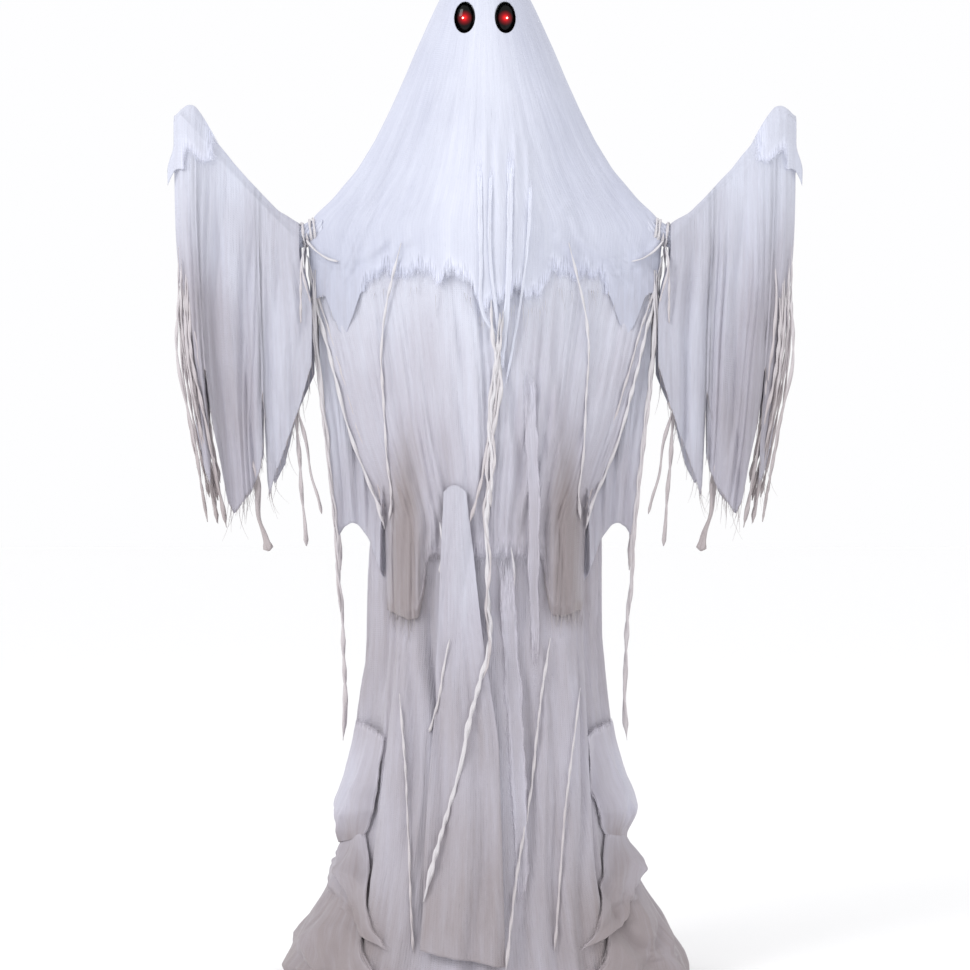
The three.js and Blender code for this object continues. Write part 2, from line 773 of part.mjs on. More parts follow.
// The gearbox stands against the left cheek, with a rib where its two halves meet
function liftGearbox() {
  const middleX = -(bracketWidth + gearboxWidth) / 2;
  const slab = (grow, width) => {
    const outline = roundedRectangle(gearboxDepth + grow, gearboxHeight + grow, gearboxCorner);
    return acrossX(extrude(outline, width, 2), width).translate(middleX, motorY, pinionZ);
  };
  const bore = cylinderX(pinionShaftRadius + runGap, gearboxWidth + 2 * cutOver);
  bore.translate(middleX + cutOver, pinionY, pinionZ);
  return cut(join(slab(0, gearboxWidth), slab(2 * gearboxRib, gearboxRibWidth)), bore);
}

function liftMotor() {
  const topZ = pinionZ - gearboxHeight / 2 - gearboxRib - fitGap;
  const neck = motorRadius - motorChamfer;
  const bodyEnd = motorLength - motorTail;
  return turned([
    [0, -motorLength], [motorTail, -motorLength], [motorTail, -bodyEnd], [neck, -bodyEnd],
    [motorRadius, -bodyEnd + motorChamfer], [motorRadius, -motorBossHeight - motorChamfer],
    [neck, -motorBossHeight], [motorBossRadius, -motorBossHeight], [motorBossRadius, 0], [0, 0],
  ], 14).rotateX(Math.PI / 2).translate(-(bracketWidth + gearboxWidth) / 2, motorY, topZ);
}

// Control box on the outer mast's rear
function boxShape(inset) {
  return roundedRectangle(boxWidth - 2 * inset, boxHeight - 2 * inset, boxCorner - inset);
}

function controlBox() {
  const body = upright(extrude(boxShape(0), boxDepth)).translate(0, boxBackY, boxMiddleZ);
  const hollow = upright(extrude(boxShape(boxWall), boxDepth)).translate(0, boxBackY + boxWall, boxMiddleZ);
  const postHeight = boardStandoff - fitGap;
  const post = cylinderY(postRadius, postHeight, 8);
  post.translate(0, mastBackY + boxWall - postSeat + postHeight / 2, boxMiddleZ);
  const postX = boxWidth / 2 - boardInset - postInset;
  const postZ = boxHeight / 2 - 2 * boardInset;
  const posts = [-1, 1].flatMap((x) => [-1, 1].map((z) => post.clone().translate(x * postX, 0, z * postZ)));
  const jackHole = cylinderZ(jackRadius + fitGap, 4 * boxWall).translate(jackX, jackY, boxBottomZ);
  return cut(join(cut(body, hollow), ...posts), jackHole);
}

// The lid closes the box's rear, with a slotted grille and a window for the mode switch
function controlLid() {
  const lid = upright(extrude(boxShape(0), boxWall)).translate(0, boxBackY + boxWall, boxMiddleZ);
  const reach = speakerRadius - grilleMargin;
  const slots = Array.from({ length: grilleSlots }, (_, i) => {
    const offset = (i - (grilleSlots - 1) / 2) * 2 * grilleSlot;
    const length = 2 * Math.sqrt(Math.max(reach ** 2 - offset ** 2, grilleMargin ** 2));
    return box(length, 4 * boxWall, grilleSlot, 0, boxBackY, speakerZ + offset);
  });
  const windowWidth = switchWidth + switchTravel + 2 * runGap;
  const windowHeight = switchWidth / 2 + 2 * runGap;
  const window = box(windowWidth, 4 * boxWall, windowHeight, switchTravel / 2, boxBackY, switchZ);
  return cut(lid, ...slots, window);
}

// A slider with a shoe behind the lid and a grooved knob outside it
function modeSwitch() {
  const shoeBackY = boxBackY - fitGap;
  const shoe = box(2 * switchWidth, shoeThickness, switchWidth, 0, shoeBackY - shoeThickness / 2, switchZ);
  const knobTopY = boxBackY + boxWall + knobHeight;
  const knobLength = knobTopY - shoeBackY + shoeThickness / 2;
  const knob = box(switchWidth, knobLength, switchWidth / 2, 0, knobTopY - knobLength / 2, switchZ);
  const grooves = [-1, 0, 1].map((i) => (
    box(switchWidth / 8, knobHeight / 2, switchWidth, (i * switchWidth) / 4, knobTopY, switchZ)
  ));
  return cut(join(shoe, knob), ...grooves);
}

function circuitBoard() {
  const y = boardY + boardThickness / 2;
  const height = boxHeight - 2.8 * boardInset;
  const board = box(boxWidth - 2 * boardInset, boardThickness, height, 0, y, boxMiddleZ);
  const chips = boardChips.map(([width, tall, rise, x, z]) => (
    box(width, rise, tall, x, boardY + rise / 2 + boardThickness / 2, boxMiddleZ + z)
  ));
  return join(board, ...chips);
}

// A shallow cone in a basket with its magnet behind, seated on the lid's inner face
function speaker() {
  const magnet = speakerRadius * 0.45;
  const magnetFront = -speakerDepth * 0.6;
  const rim = speakerDepth * 0.2;
  return turned([
    [0, -speakerDepth], [magnet, -speakerDepth], [magnet, magnetFront], [speakerRadius - rim, -rim],
    [speakerRadius, -rim], [speakerRadius, 0], [speakerRadius - rim, 0],
    [speakerRadius - 1.5 * rim, -rim / 2], [speakerRadius / 4, -2 * rim], [0, -1.5 * rim],
  ], 14).translate(0, boxBackY - fitGap, speakerZ);
}

// A barrel socket in the box's floor, flange outside, open downwards
function powerJack() {
  const rim = jackRadius + jackLip;
  return turned([
    [0, jackDepth - jackEnd], [jackBore, jackDepth - jackEnd], [jackBore, -jackFlange], [rim, -jackFlange],
    [rim, -fitGap], [jackRadius, -fitGap], [jackRadius, jackDepth], [0, jackDepth],
  ], 12).rotateX(Math.PI / 2).translate(jackX, jackY, boxBottomZ);
}

// Rising mast
function innerMast() {
  return squareTube(innerMastWidth, innerMastWall, innerMastTopZ - innerMastBottomZ)
    .translate(0, 0, innerMastBottomZ);
}

// A plastic shoe on the inner mast's foot that runs in the outer mast
function mastSlider() {
  const width = outerMastBore - 2 * slideGap;
  const pocket = innerMastWidth + 2 * fitGap;
  const shoe = extrude(roundedRectangle(width, width, shoeCorner), sliderHeight, 2);
  const hollow = block(pocket, pocket, sliderHeight, sliderFloor);
  const relief = box(width / 2, 2 * cutOver, sliderHeight / 2, 0, width / 2, sliderHeight / 2);
  const reliefs = [0, 1, 2, 3].map((i) => relief.clone().rotateZ((i * Math.PI) / 2));
  return cut(shoe, hollow, ...reliefs).translate(0, 0, innerMastBottomZ - fitGap - sliderFloor);
}

// Arms. Both are made for the right side, with the elbow pin at the origin and X pointing outwards.
function upperArmMatrix() {
  return new THREE.Matrix4().makeRotationY(armSlope).setPosition(elbowX, 0, elbowZ);
}

// A cylinder on the upper arm's axis, between two distances from the elbow
function armCylinder(radius, from, to, side) {
  const rod = cylinderX(radius, to - from, armSides).translate(-(from + to) / 2, 0, 0);
  rod.applyMatrix4(upperArmMatrix());
  return side > 0 ? rod : rod.rotateZ(Math.PI);
}

function upperArmTube(side) {
  const from = forkRadius + forkRoot + fitGap;
  const bore = armCylinder(upperArmRadius - tubeWall, from - cutOver, armTubeEnd + cutOver, side);
  return cut(armCylinder(upperArmRadius, from, armTubeEnd, side), bore);
}

// A fork with a round end; the arm tube seats in its root
function elbowFork(side) {
  const width = forkSlot + 2 * forkCheek;
  const outline = new THREE.Shape();
  outline.moveTo(-forkLength, -forkRadius + forkTaper);
  outline.lineTo(0, -forkRadius);
  outline.absarc(0, 0, forkRadius, -Math.PI / 2, Math.PI / 2);
  outline.lineTo(-forkLength, forkRadius - forkTaper);
  const body = upright(extrude(outline, width, 6)).translate(0, width / 2, 0);
  const slotRoot = forkRadius + forkRoot / 2;
  const slot = box(2 * slotRoot, forkSlot, 4 * forkRadius);
  const socket = cylinderX(upperArmRadius + fitGap, forkLength, armSides);
  socket.translate(-forkLength / 2 - forkRadius - forkRoot, 0, 0);
  const hole = cylinderY(pinRadius + fitGap, width + 2 * cutOver, armSides);
  const fork = cut(body, slot, socket, hole).applyMatrix4(upperArmMatrix());
  return side > 0 ? fork : fork.rotateZ(Math.PI);
}

// A headed pin through the fork and the tongue
function elbowPin(side) {
  const half = forkSlot / 2 + forkCheek;
  const headRadius = pinRadius + pinHead;
  return turned([
    [0, -half - pinHead], [headRadius, -half - pinHead], [headRadius, -half - fitGap],
    [pinRadius, -half - fitGap], [pinRadius, half + pinEnd / 2], [pinRadius / 2, half + pinEnd],
    [0, half + pinEnd],
  ], armSides).translate(side * elbowX, 0, elbowZ);
}

// Forearm pieces run along X from the elbow pin
function elbowTongue() {
  const disc = cylinderY(forkRadius - 1, tongueThickness);
  const cupStart = forkRadius + forkRoot;
  const neck = box(cupStart, tongueThickness, 1.6 * forkRadius, cupStart / 2 + cutOver, 0, 0);
  const cup = cylinderX(forearmRadius + cupWall, cupLength, armSides);
  cup.translate(cupStart + cupLength / 2, 0, 0);
  const socket = cylinderX(forearmRadius + fitGap, cupLength, armSides);
  socket.translate(cupStart + cupLength / 2 + tongueSeat, 0, 0);
  return cut(join(disc, neck, cup), socket, cylinderY(pinRadius + runGap, 2 * forkRadius, armSides));
}

function forearmTube() {
  const from = forkRadius + forkRoot + tongueSeat + fitGap;
  const tube = cylinderX(forearmRadius, handSeat - from, armSides);
  const bore = cylinderX(forearmRadius - tubeWall, handSeat, armSides);
  return cut(tube, bore).translate((from + handSeat) / 2, 0, 0);
}

// A mitten-like form: palm and fingers in one, a thumb beside them
function handForm() {
  const palm = new THREE.SphereGeometry(1, 10, 6);
  palm.scale(handLength / 2, handThickness / 2, handWidth / 2);
  const thumb = new THREE.SphereGeometry(1, 8, 5);
  thumb.scale(thumbLength, thumbThickness / 2, thumbThickness / 2).rotateY(thumbAngle);
  thumb.translate(-thumbLength / 5, 0, -handWidth * 0.38);
  const socket = cylinderX(forearmRadius + fitGap, handLength, armSides);
  socket.translate(handSeat + fitGap - handLength / 2 - forearmLength, 0, 0);
  return cut(join(palm, thumb), socket).translate(forearmLength, 0, 0);
}

// Chest
function chestBlock() {
  const body = extrude(roundedRectangle(blockWidth, blockDepth, blockCorner), blockHeight);
  body.translate(0, 0, blockBottomZ);
  const pocket = innerMastWidth + 2 * fitGap;
  const pocketDepth = innerMastTopZ - blockBottomZ + fitGap;
  const socket = block(pocket, pocket, pocketDepth + cutOver, blockBottomZ - cutOver);
  const bores = [-1, 1].map((side) => (
    armCylinder(upperArmRadius + fitGap, armLength / 2, armTubeEnd + fitGap, side)
  ));
  return cut(body, socket, ...bores);
}

function torsoRing(z, inset) {
  const halfWidth = between(torsoStations, z, 1) - inset;
  const halfDepth = between(torsoStations, z, 2) - inset;
  return ovalRing(torsoColumns, halfWidth, halfDepth, z);
}

// Half a torso shell: front for side -1, rear for side 1, with two bosses that meet the chest block
function torsoShell(side) {
  const heights = torsoStations.map(([z]) => z);
  const outer = loft(heights.map((z) => torsoRing(z, 0)));
  const past = [heights[0] - cutOver, ...heights.slice(1, -1), torsoTopZ + cutOver];
  const inner = loft(past.map((z) => torsoRing(z, torsoWall)));
  const roomy = 4 * blockWidth;
  const half = box(roomy, roomy, roomy, 0, (side * (roomy + fitGap)) / 2, (torsoBottomZ + torsoTopZ) / 2);
  const shell = toSolid(outer).subtract(toSolid(inner)).intersect(toSolid(half));
  const bossZ = robeTopZ + bossRise;
  const reach = between(torsoStations, bossZ, 2) - (torsoWall + blockDepth) / 2 - fitGap;
  const boss = cylinderY(bossRadius, reach, 8);
  boss.translate(0, side * (blockDepth / 2 + fitGap + reach / 2), bossZ);
  const bosses = [-1, 1].map((x) => boss.clone().translate((x * blockWidth) / 4, 0, 0));
  const holes = [-1, 1].map((x) => armCylinder(upperArmRadius + armHoleGap, armLength / 5, armTubeEnd, x));
  return cut(join(toGeometry(shell), ...bosses), ...holes);
}

function headMotor() {
  const bodyHeight = headMotorHeight - headMotorBoss;
  const body = extrude(roundedRectangle(headMotorSize, headMotorSize, headMotorSize / 10), bodyHeight);
  const bossLength = headMotorBoss + cutOver;
  const boss = cylinderZ(headMotorBossRadius, bossLength).translate(0, 0, headMotorHeight - bossLength / 2);
  const ears = block(headMotorSize + 2 * headMotorEar, headMotorSize * 0.6, headMotorSize / 10);
  return join(body, boss, ears).translate(0, 0, blockTopZ);
}

// A collar in the torso's neck that carries the neck shaft
function neckBearing() {
  const radius = between(torsoStations, torsoTopZ, 1) - torsoWall - fitGap;
  const rim = radius + torsoWall;
  const bore = neckShaftRadius + runGap;
  const plug = radius - bearingRim;
  const profile = [
    [bore, -bearingHeight], [plug, -bearingHeight], [plug, fitGap], [rim, fitGap], [rim, bearingRim],
    [bore, bearingRim], [bore, -bearingHeight],
  ];
  return turned(profile, 16).rotateX(Math.PI / 2).translate(0, 0, torsoTopZ);
}

// Head
function neckShaft() {
  const from = headMotorTopZ + fitGap;
  const to = hubZ + hubThickness;
  return cylinderZ(neckShaftRadius, to - from).translate(0, 0, (to + from) / 2);
}

// The head's outline at a height: an oval dome over the temples, drawn in towards the neck
function headOval(z) {
  if (z >= templeZ) {
    const share = (z - templeZ) / (headTopZ - templeZ);
    const scale = Math.sqrt(Math.max(0, 1 - share * share));
    return [headHalfWidth * scale, headHalfDepth * scale];
  }
  const share = (templeZ - z) / (templeZ - headBottomZ);
  const scale = 1 - neckDraw * share ** 1.8;
  return [headHalfWidth * scale, headHalfDepth * scale];
}

// Heights of the rings of a dome over the temples, from its top down
function domeHeights(topZ) {
  const rise = topZ - templeZ;
  return domeAngles.map((degrees) => templeZ + rise * Math.cos(THREE.MathUtils.degToRad(degrees)));
}

function headRings(inset, heights, columns = headColumns) {
  return heights.map((z) => {
    const [halfWidth, halfDepth] = headOval(z);
    return ovalRing(columns, halfWidth - inset, halfDepth - inset, z);
  });
}

function eyeBody(grow) {
  const ball = new THREE.SphereGeometry(1, 14, 7);
  ball.scale(eyeHalfWidth + grow, eyeHalfDepth + grow, eyeHalfHeight + grow);
  return ball;
}

// An oval tunnel a little wider than an eye, to cut the hood
function eyeTunnel() {
  return cylinderY(1, 6 * eyeHalfDepth, 14).scale(eyeHalfWidth + fitGap, 1, eyeHalfHeight + fitGap);
}

// The y of an eye's middle plane: a little behind the head's front at the eye's place
function eyeY() {
  const [halfWidth, halfDepth] = headOval(eyeZ);
  return -halfDepth * Math.sqrt(1 - (eyeX / halfWidth) ** 2);
}

function placedAtEye(geometry, side) {
  return geometry.rotateZ(side * eyeTurn).translate(side * eyeX, eyeY(), eyeZ);
}

// The head form is a moulded shell, open at the neck, with a hollow seat for each eye
function headForm() {
  const dome = domeHeights(headTopZ).reverse();
  const jawRise = (templeZ - headBottomZ) * 0.28;
  const heights = [headBottomZ, headBottomZ + jawRise, headBottomZ + 2 * jawRise, ...dome];
  const outer = loft(headRings(0, heights));
  const innerHeights = [headBottomZ - cutOver, ...heights.slice(1, -1)];
  const inner = loft(headRings(headWall, innerHeights, headColumns / 2));
  const seats = [-1, 1].map((side) => placedAtEye(eyeBody(fitGap), side));
  return cut(outer, inner, ...seats);
}

// A spoked plate across the head's inside, clamped on the neck shaft
function headHub() {
  const [halfWidth, halfDepth] = headOval(hubZ);
  const reach = headWall + 2 * fitGap;
  const ring = (z) => ovalRing(headColumns / 2, halfWidth - reach, halfDepth - reach, z);
  const plate = loft([ring(hubZ), ring(hubZ + hubPlate)]);
  const boss = cylinderZ(neckShaftRadius + hubBoss, hubThickness).translate(0, 0, hubZ + hubThickness / 2);
  const window = cylinderZ(hubWindowRadius, 4 * hubThickness, 10).translate(hubWindowReach, 0, hubZ);
  const windows = [0, 1, 2].map((i) => window.clone().rotateZ(((i + 0.25) * 2 * Math.PI) / 3));
  const bore = cylinderZ(neckShaftRadius + fitGap, 4 * hubThickness).translate(0, 0, hubZ);
  return cut(join(plate, boss), ...windows, bore);
}

function eyeLens(side) {
  const bore = cylinderY(ledRadius + fitGap, 6 * eyeHalfDepth, 10);
  return placedAtEye(cut(eyeBody(0), bore), side);
}

// A round-nosed light, its nose just proud of the eye
function eyeLight(side) {
  const nose = -eyeHalfDepth - ledProud;
  const slope = ledRadius * 0.3;
  const light = turned([
    [0, nose], [ledRadius - slope, nose + slope], [ledRadius, nose + ledRadius],
    [ledRadius, nose + ledLength], [0, nose + ledLength],
  ], 10);
  return placedAtEye(light, side);
}

// Cloth
// Folds that run down the robe, even about both upright planes, from -1 to 1
function robeFold(turn) {
  const angle = turn * Math.PI * 2;
  return 0.65 * Math.cos(robeFoldCount * angle) + 0.35 * Math.cos(robeSecondFoldCount * angle);
}

function robeRowZ(row) {
  return robeTopZ + ((hemZ - robeTopZ) * row) / robeRows;
}

function robePoint(turn, z) {
  const depth = THREE.MathUtils.clamp((robeTopZ - z) / (robeTopZ - hemZ), 0, 1);
  const swing = robeSwing * depth ** 0.7;
  const fold = swing * robeFold(turn);
  const seat = fitGap + clothThickness;
  const halfWidth = z >= robeTopZ ? between(torsoStations, z, 1) + seat : between(robeStations, z, 1);
  const halfDepth = z >= robeTopZ ? between(torsoStations, z, 2) + seat : between(robeStations, z, 2);
  return ovalPoint(turn, halfWidth + fold, halfDepth + fold, z, 1 + 0.15 * depth);
}

// A point on the robe's flat facets, which are straight from one row to the next
function robeFacetPoint(turn, z) {
  const place = THREE.MathUtils.clamp(((robeTopZ - z) / (robeTopZ - hemZ)) * robeRows, 0, robeRows);
  const row = Math.min(Math.floor(place), robeRows - 1);
  return robePoint(turn, robeRowZ(row)).lerp(robePoint(turn, robeRowZ(row + 1)), place - row);
}

function robe() {
  const point = (u, v) => robePoint(u, robeRowZ(v * robeRows));
  return sheet(point, robeColumns, robeRows, clothThickness, { around: true });
}

// Spare cloth that is bunched in tiers on one side of the robe
function sideBunch(side) {
  const point = (u, v) => {
    const turn = ((u - 0.5) * bunchColumns) / robeColumns + (side > 0 ? 0 : 0.5);
    const z = THREE.MathUtils.lerp(bunchTopZ, hemZ + bunchFloor, v);
    const out = robeFacetPoint(turn, z);
    const fade = Math.sin(Math.PI * THREE.MathUtils.clamp(u, 0.04, 0.96)) ** 0.6;
    const lift = v === 0 ? bunchSeat : layerGap + between(bunchStations, z, 1) * fade;
    const ripple = bunchRipple * Math.cos(u * Math.PI * 7 + v * 5) * v;
    const next = robeFacetPoint(turn + 1 / robeColumns, z);
    const along = next.sub(robeFacetPoint(turn - 1 / robeColumns, z));
    const outward = new THREE.Vector3(along.y, -along.x, 0).normalize();
    return out.addScaledVector(outward, lift + clothThickness + ripple * fade);
  };
  return sheet(point, bunchColumns, bunchRows, clothThickness);
}

// The shroud's outline at a height: the head's dome grown by the cloth, then the stations
function shroudOval(z) {
  const grow = clothThickness + seatGap;
  const share = THREE.MathUtils.clamp((z - templeZ) / (crownZ - templeZ), 0, 1);
  const scale = Math.sqrt(1 - share * share);
  const dome = [(headHalfWidth + grow) * scale, (headHalfDepth + grow) * scale];
  if (z > shroudStations[shroudStations.length - 1][0]) return dome;
  return dome.map((half, index) => Math.max(half, between(shroudStations, z, index + 1)));
}

// Deep over the body and thinner over the arms, with folds that fan out from the head
function shroudPoint(turn, z) {
  const [halfWidth, halfDepth] = shroudOval(z);
  const angle = turn * Math.PI * 2;
  const c = Math.cos(angle);
  const s = Math.sin(angle);
  const below = THREE.MathUtils.smoothstep(crownZ - z, shroudSpreadStart, shroudSpreadEnd);
  const x = halfWidth * c;
  const bodyHalf = THREE.MathUtils.lerp(6 * headHalfWidth, shroudBodyHalf, below);
  const overBody = Math.exp(-((x / bodyHalf) ** 2));
  const spread = armLayerDepth + (halfDepth - armLayerDepth) * overBody;
  const depth = THREE.MathUtils.lerp(halfDepth, spread, below);
  const fold = shroudSwing * below * Math.cos(shroudFoldCount * angle) * Math.abs(s);
  return new THREE.Vector3(x, Math.sign(s) * Math.abs(s) ** (1 - 0.4 * below) * (depth + fold), z);
}

function shroud() {
  const rows = [...domeHeights(crownZ), ...shroudRowZs, shroudHemZ];
  const count = rows.length - 1;
  const point = (u, v) => {
    const row = Math.round(v * count);
    const corner = shroudPoint(u, rows[row]);
    if (row < count) return corner;
    const drop = shroudPointDrop * Math.exp(-((corner.x / shroudPointWidth) ** 2));
    return corner.setZ(corner.z - drop * (corner.y < 0 ? 1 : shroudRearPoint));
  };
  const pole = new THREE.Vector3(0, 0, crownZ);
  const cloth = sheet(point, headColumns, count, clothThickness, { around: true, pole });
  const eyes = [-1, 1].map((side) => placedAtEye(eyeTunnel(), side));
  const armHole = forkRadius + forkCheek + fitGap;
  const arms = [-1, 1].map((side) => armCylinder(armHole, -forkRadius, 2.2 * forkLength, side));
  return tidied(cut(cloth, ...eyes, ...arms));
}

// A cloth that is folded over an arm: front layer, ridge, back layer. Its ridge has the corners of
// an octagon round the arm.
// ridge(x) gives [height, half height, half thickness], edge(u, front) the height of the lower edge
// and clear(x, z) how far from y = 0 the cloth's outer face has to be
function foldedOverArm({ from, to, columns, drops, ridge, edge, shift, layer, clear }) {
  const rows = 2 * (drops + 2);
  const point = (u, v) => {
    const x = THREE.MathUtils.lerp(from, to, u);
    const [top, rise, half] = ridge(x);
    const step = Math.round(v * rows) - (drops + 2);
    const face = step < 0 ? -1 : 1;
    const rank = Math.abs(step);
    if (rank === 0) return new THREE.Vector3(x, 0, top);
    if (rank === 1) {
      return new THREE.Vector3(x, face * half * Math.SQRT1_2, top - rise * (1 - Math.SQRT1_2));
    }
    const down = (rank - 2) / drops;
    const z = THREE.MathUtils.lerp(top - rise, edge(u, face < 0), down);
    const hungX = x + shift(u, down);
    return new THREE.Vector3(hungX, face * Math.max(half + layer(u, down), clear(hungX, z)), z);
  };
  return sheet(point, columns, rows, clothThickness);
}

// Half the outer thickness of a fold, to its corners, where it rests on a round arm
function foldSeat(armRadius) {
  return (armRadius + fitGap + clothThickness) / Math.cos(Math.PI / 8);
}

// A sleeve over the right forearm
function sleeve() {
  const seat = foldSeat(forearmRadius);
  const first = sleeveRidge[0][0];
  const last = sleeveRidge[sleeveRidge.length - 1][0];
  const ridge = (x) => {
    const reach = x - elbowX;
    const axisZ = elbowZ + reach * Math.tan(forearmTilt);
    const needed = reach < last - handWidth ? seat / Math.cos(forearmTilt) : -Infinity;
    const rise = Math.max(between(sleeveRidge, reach, 1), needed);
    return [axisZ + rise, Math.max(rise, handThickness / 2), Math.max(between(sleeveRidge, reach, 2), seat)];
  };
  const edge = (u, front) => {
    const reach = THREE.MathUtils.lerp(last, first, u);
    return between(front ? sleeveFrontEdge : sleeveBackEdge, reach, 1);
  };
  const shift = (u, down) => -sleeveLean * (1 - u ** 0.7) * down ** 1.5;
  const layer = (u, down) => (
    (sleeveStandOff + sleeveWave * Math.cos(u * Math.PI * 7 + down * 1.5)) * down
  );
  return foldedOverArm({
    from: elbowX + last,
    to: elbowX + first,
    columns: sleeveColumns,
    drops: sleeveRows,
    ridge,
    edge,
    shift,
    layer,
    clear: () => 0,
  });
}

// A thin drape over the right upper arm, between the robe and the sleeve, with a long strand
// that hangs on from its outer edge
function sideDrape(robeBody) {
  const seat = foldSeat(upperArmRadius);
  const ridge = (x) => {
    const axisZ = elbowZ + (elbowX - x) * Math.tan(armSlope);
    return [axisZ + seat / Math.cos(armSlope), seat / Math.cos(armSlope), seat];
  };
  const edge = (u) => THREE.MathUtils.lerp(drapeLowZ, drapeHighZ, 2 * Math.abs(u - drapeLowShare));
  const outerShift = (down) => drapeBelly * Math.sin(Math.PI * down ** 1.5) - drapeDrawIn * down;
  const innerShift = (down) => drapeInnerDraw * down;
  const shift = (u, down) => (1 - 2 * u) * (u < 0.5 ? outerShift(down) : innerShift(down));
  const layer = (u, down) => (drapeStandOff + drapeWave * Math.cos(u * Math.PI * 5)) * down;
  const clear = (x, z) => {
    const front = frontOf([robeBody], x, z, drapeProbe);
    return Number.isFinite(front) ? Math.abs(front) + layerGap + 2 * clothThickness : 0;
  };
  const drape = foldedOverArm({
    from: drapeOuterX,
    to: drapeInnerX,
    columns: drapeColumns,
    drops: drapeRows,
    ridge,
    edge,
    shift,
    layer,
    clear,
  });
  const edgeZ = edge(0);
  const edgeX = drapeOuterX + shift(0, 1);
  const edgeY = -seat - layer(0, 1) + clothThickness / 2;
  const strand = [0.45, 0.6, 0.8, 1].map((down) => {
    const z = THREE.MathUtils.lerp(elbowZ, edgeZ, down);
    return new THREE.Vector3(drapeOuterX + shift(0, down), -seat - layer(0, down) + clothThickness / 2, z);
  });
  for (const share of [0.33, 0.67, 1]) {
    strand.push(new THREE.Vector3(
      THREE.MathUtils.lerp(edgeX, strandEndX, share),
      edgeY,
      THREE.MathUtils.lerp(edgeZ, strandEndZ, share),
    ));
  }
  return tidied(join(drape, strandTube(strand)));
}

// The lighter panel down the front, narrow and rounded at the top and wide at the hem
function frontPanel(robeBody) {
  const [top, bottom] = panelEdges;
  const point = (u, v) => {
    const topZ = panelTopZ - panelCrown * (2 * u - 1) ** 2;
    const z = THREE.MathUtils.lerp(topZ, THREE.MathUtils.lerp(...panelHemZs, u), v);
    const x = THREE.MathUtils.lerp(
      THREE.MathUtils.lerp(top[0], bottom[0], v), THREE.MathUtils.lerp(top[1], bottom[1], v), u,
    );
    const sewn = v === 0;
    const rest = frontOf([robeBody], x, z, (sewn ? 1 : 4) * layerGap) - (sewn ? fitGap : layerGap / 3);
    return new THREE.Vector3(x, rest - clothThickness - layerGap * Math.sin(u * Math.PI) * v, z);
  };
  return sheet(point, panelColumns, panelRows, clothThickness);
}

// A strand of rolled cloth through the given points
function strandTube(points) {
  const path = new THREE.CatmullRomCurve3(points);
  const section = new THREE.Shape();
  section.absellipse(0, 0, strandRadius, strandRadius, 0, Math.PI * 2);
  const steps = Math.round(path.getLength() / strandStep);
  return new THREE.ExtrudeGeometry(section, {
    extrudePath: path, steps, curveSegments: strandSides, bevelEnabled: false,
  });
}

// A strand that lies on what is behind it, through points [x, z]
function laidStrand(route, bodies) {
  const guide = new THREE.CatmullRomCurve3(route.map(([x, z]) => new THREE.Vector3(x, 0, z)));
  const count = Math.round(guide.getLength() / strandStep);
  return strandTube(guide.getSpacedPoints(count).map((point) => {
    const rest = frontOf(bodies, point.x, point.z, 1.5 * strandRadius);
    return point.setY(rest - strandRadius - fitGap);
  }));
}

// Assembly
function stand() {
  const group = new THREE.Group();
  for (const [side, word] of [[-1, 'left'], [1, 'right']]) {
    group.add(part(`base_rail_${word}`, rail(side), blackSteel()));
    group.add(part(`foot_front_${word}`, footCap(side, -1), rubber()));
    group.add(part(`foot_rear_${word}`, footCap(side, 1), rubber()));
  }
  group.add(part('cross_tube', crossTube(), blackSteel()));
  group.add(part('mast_socket', mastSocket(), blackSteel()));
  group.add(part('outer_mast', outerMast(), blackSteel()));
  group.add(part('lock_button', lockButton(), zincSteel()));
  group.add(part('lock_spring', lockSpring(), zincSteel()));
  group.add(part('guide_bush', guideBush(), whiteNylon()));
  group.add(part('drive_bracket', driveBracket(), zincSteel()));
  group.add(part('lift_gearbox', liftGearbox(), greyPlastic()));
  group.add(part('lift_motor', liftMotor(), zincSteel()));
  group.add(part('drive_pinion', drivePinion(), whiteNylon()));
  group.add(part('pinion_shaft', pinionShaft(), zincSteel()));
  group.add(part('control_box', controlBox(), blackPlastic()));
  group.add(part('control_lid', controlLid(), blackPlastic()));
  group.add(part('circuit_board', circuitBoard(), boardGreen()));
  group.add(part('speaker', speaker(), greyPlastic()));
  group.add(part('power_jack', powerJack(), greyPlastic()));
  group.add(part('mode_switch', modeSwitch(), greyPlastic()));
  return group;
}

function figure() {
  const group = new THREE.Group();
  group.add(part('inner_mast', innerMast(), zincSteel()));
  group.add(part('mast_slider', mastSlider(), whiteNylon()));
  group.add(part('lift_rack', liftRack(), whiteNylon()));
  group.add(part('chest_block', chestBlock(), greyPlastic()));
  group.add(part('torso_front', torsoShell(-1), headPlastic()));
  group.add(part('torso_rear', torsoShell(1), headPlastic()));
  group.add(part('head_motor', headMotor(), blackPlastic()));
  group.add(part('neck_bearing', neckBearing(), whiteNylon()));
  group.add(part('neck_shaft', neckShaft(), zincSteel()));
  group.add(part('head_hub', headHub(), greyPlastic()));
  group.add(part('head_form', headForm(), headPlastic()));
  for (const [side, word] of [[-1, 'left'], [1, 'right']]) {
    group.add(part(`eye_lens_${word}`, eyeLens(side), blackGloss()));
    group.add(part(`eye_light_${word}`, eyeLight(side), redLight()));
    group.add(part(`upper_arm_${word}`, upperArmTube(side), aluminium()));
    group.add(part(`elbow_fork_${word}`, elbowFork(side), greyPlastic()));
    group.add(part(`elbow_pin_${word}`, elbowPin(side), zincSteel()));
    group.add(forearm(side, word));
  }
  return group;
}

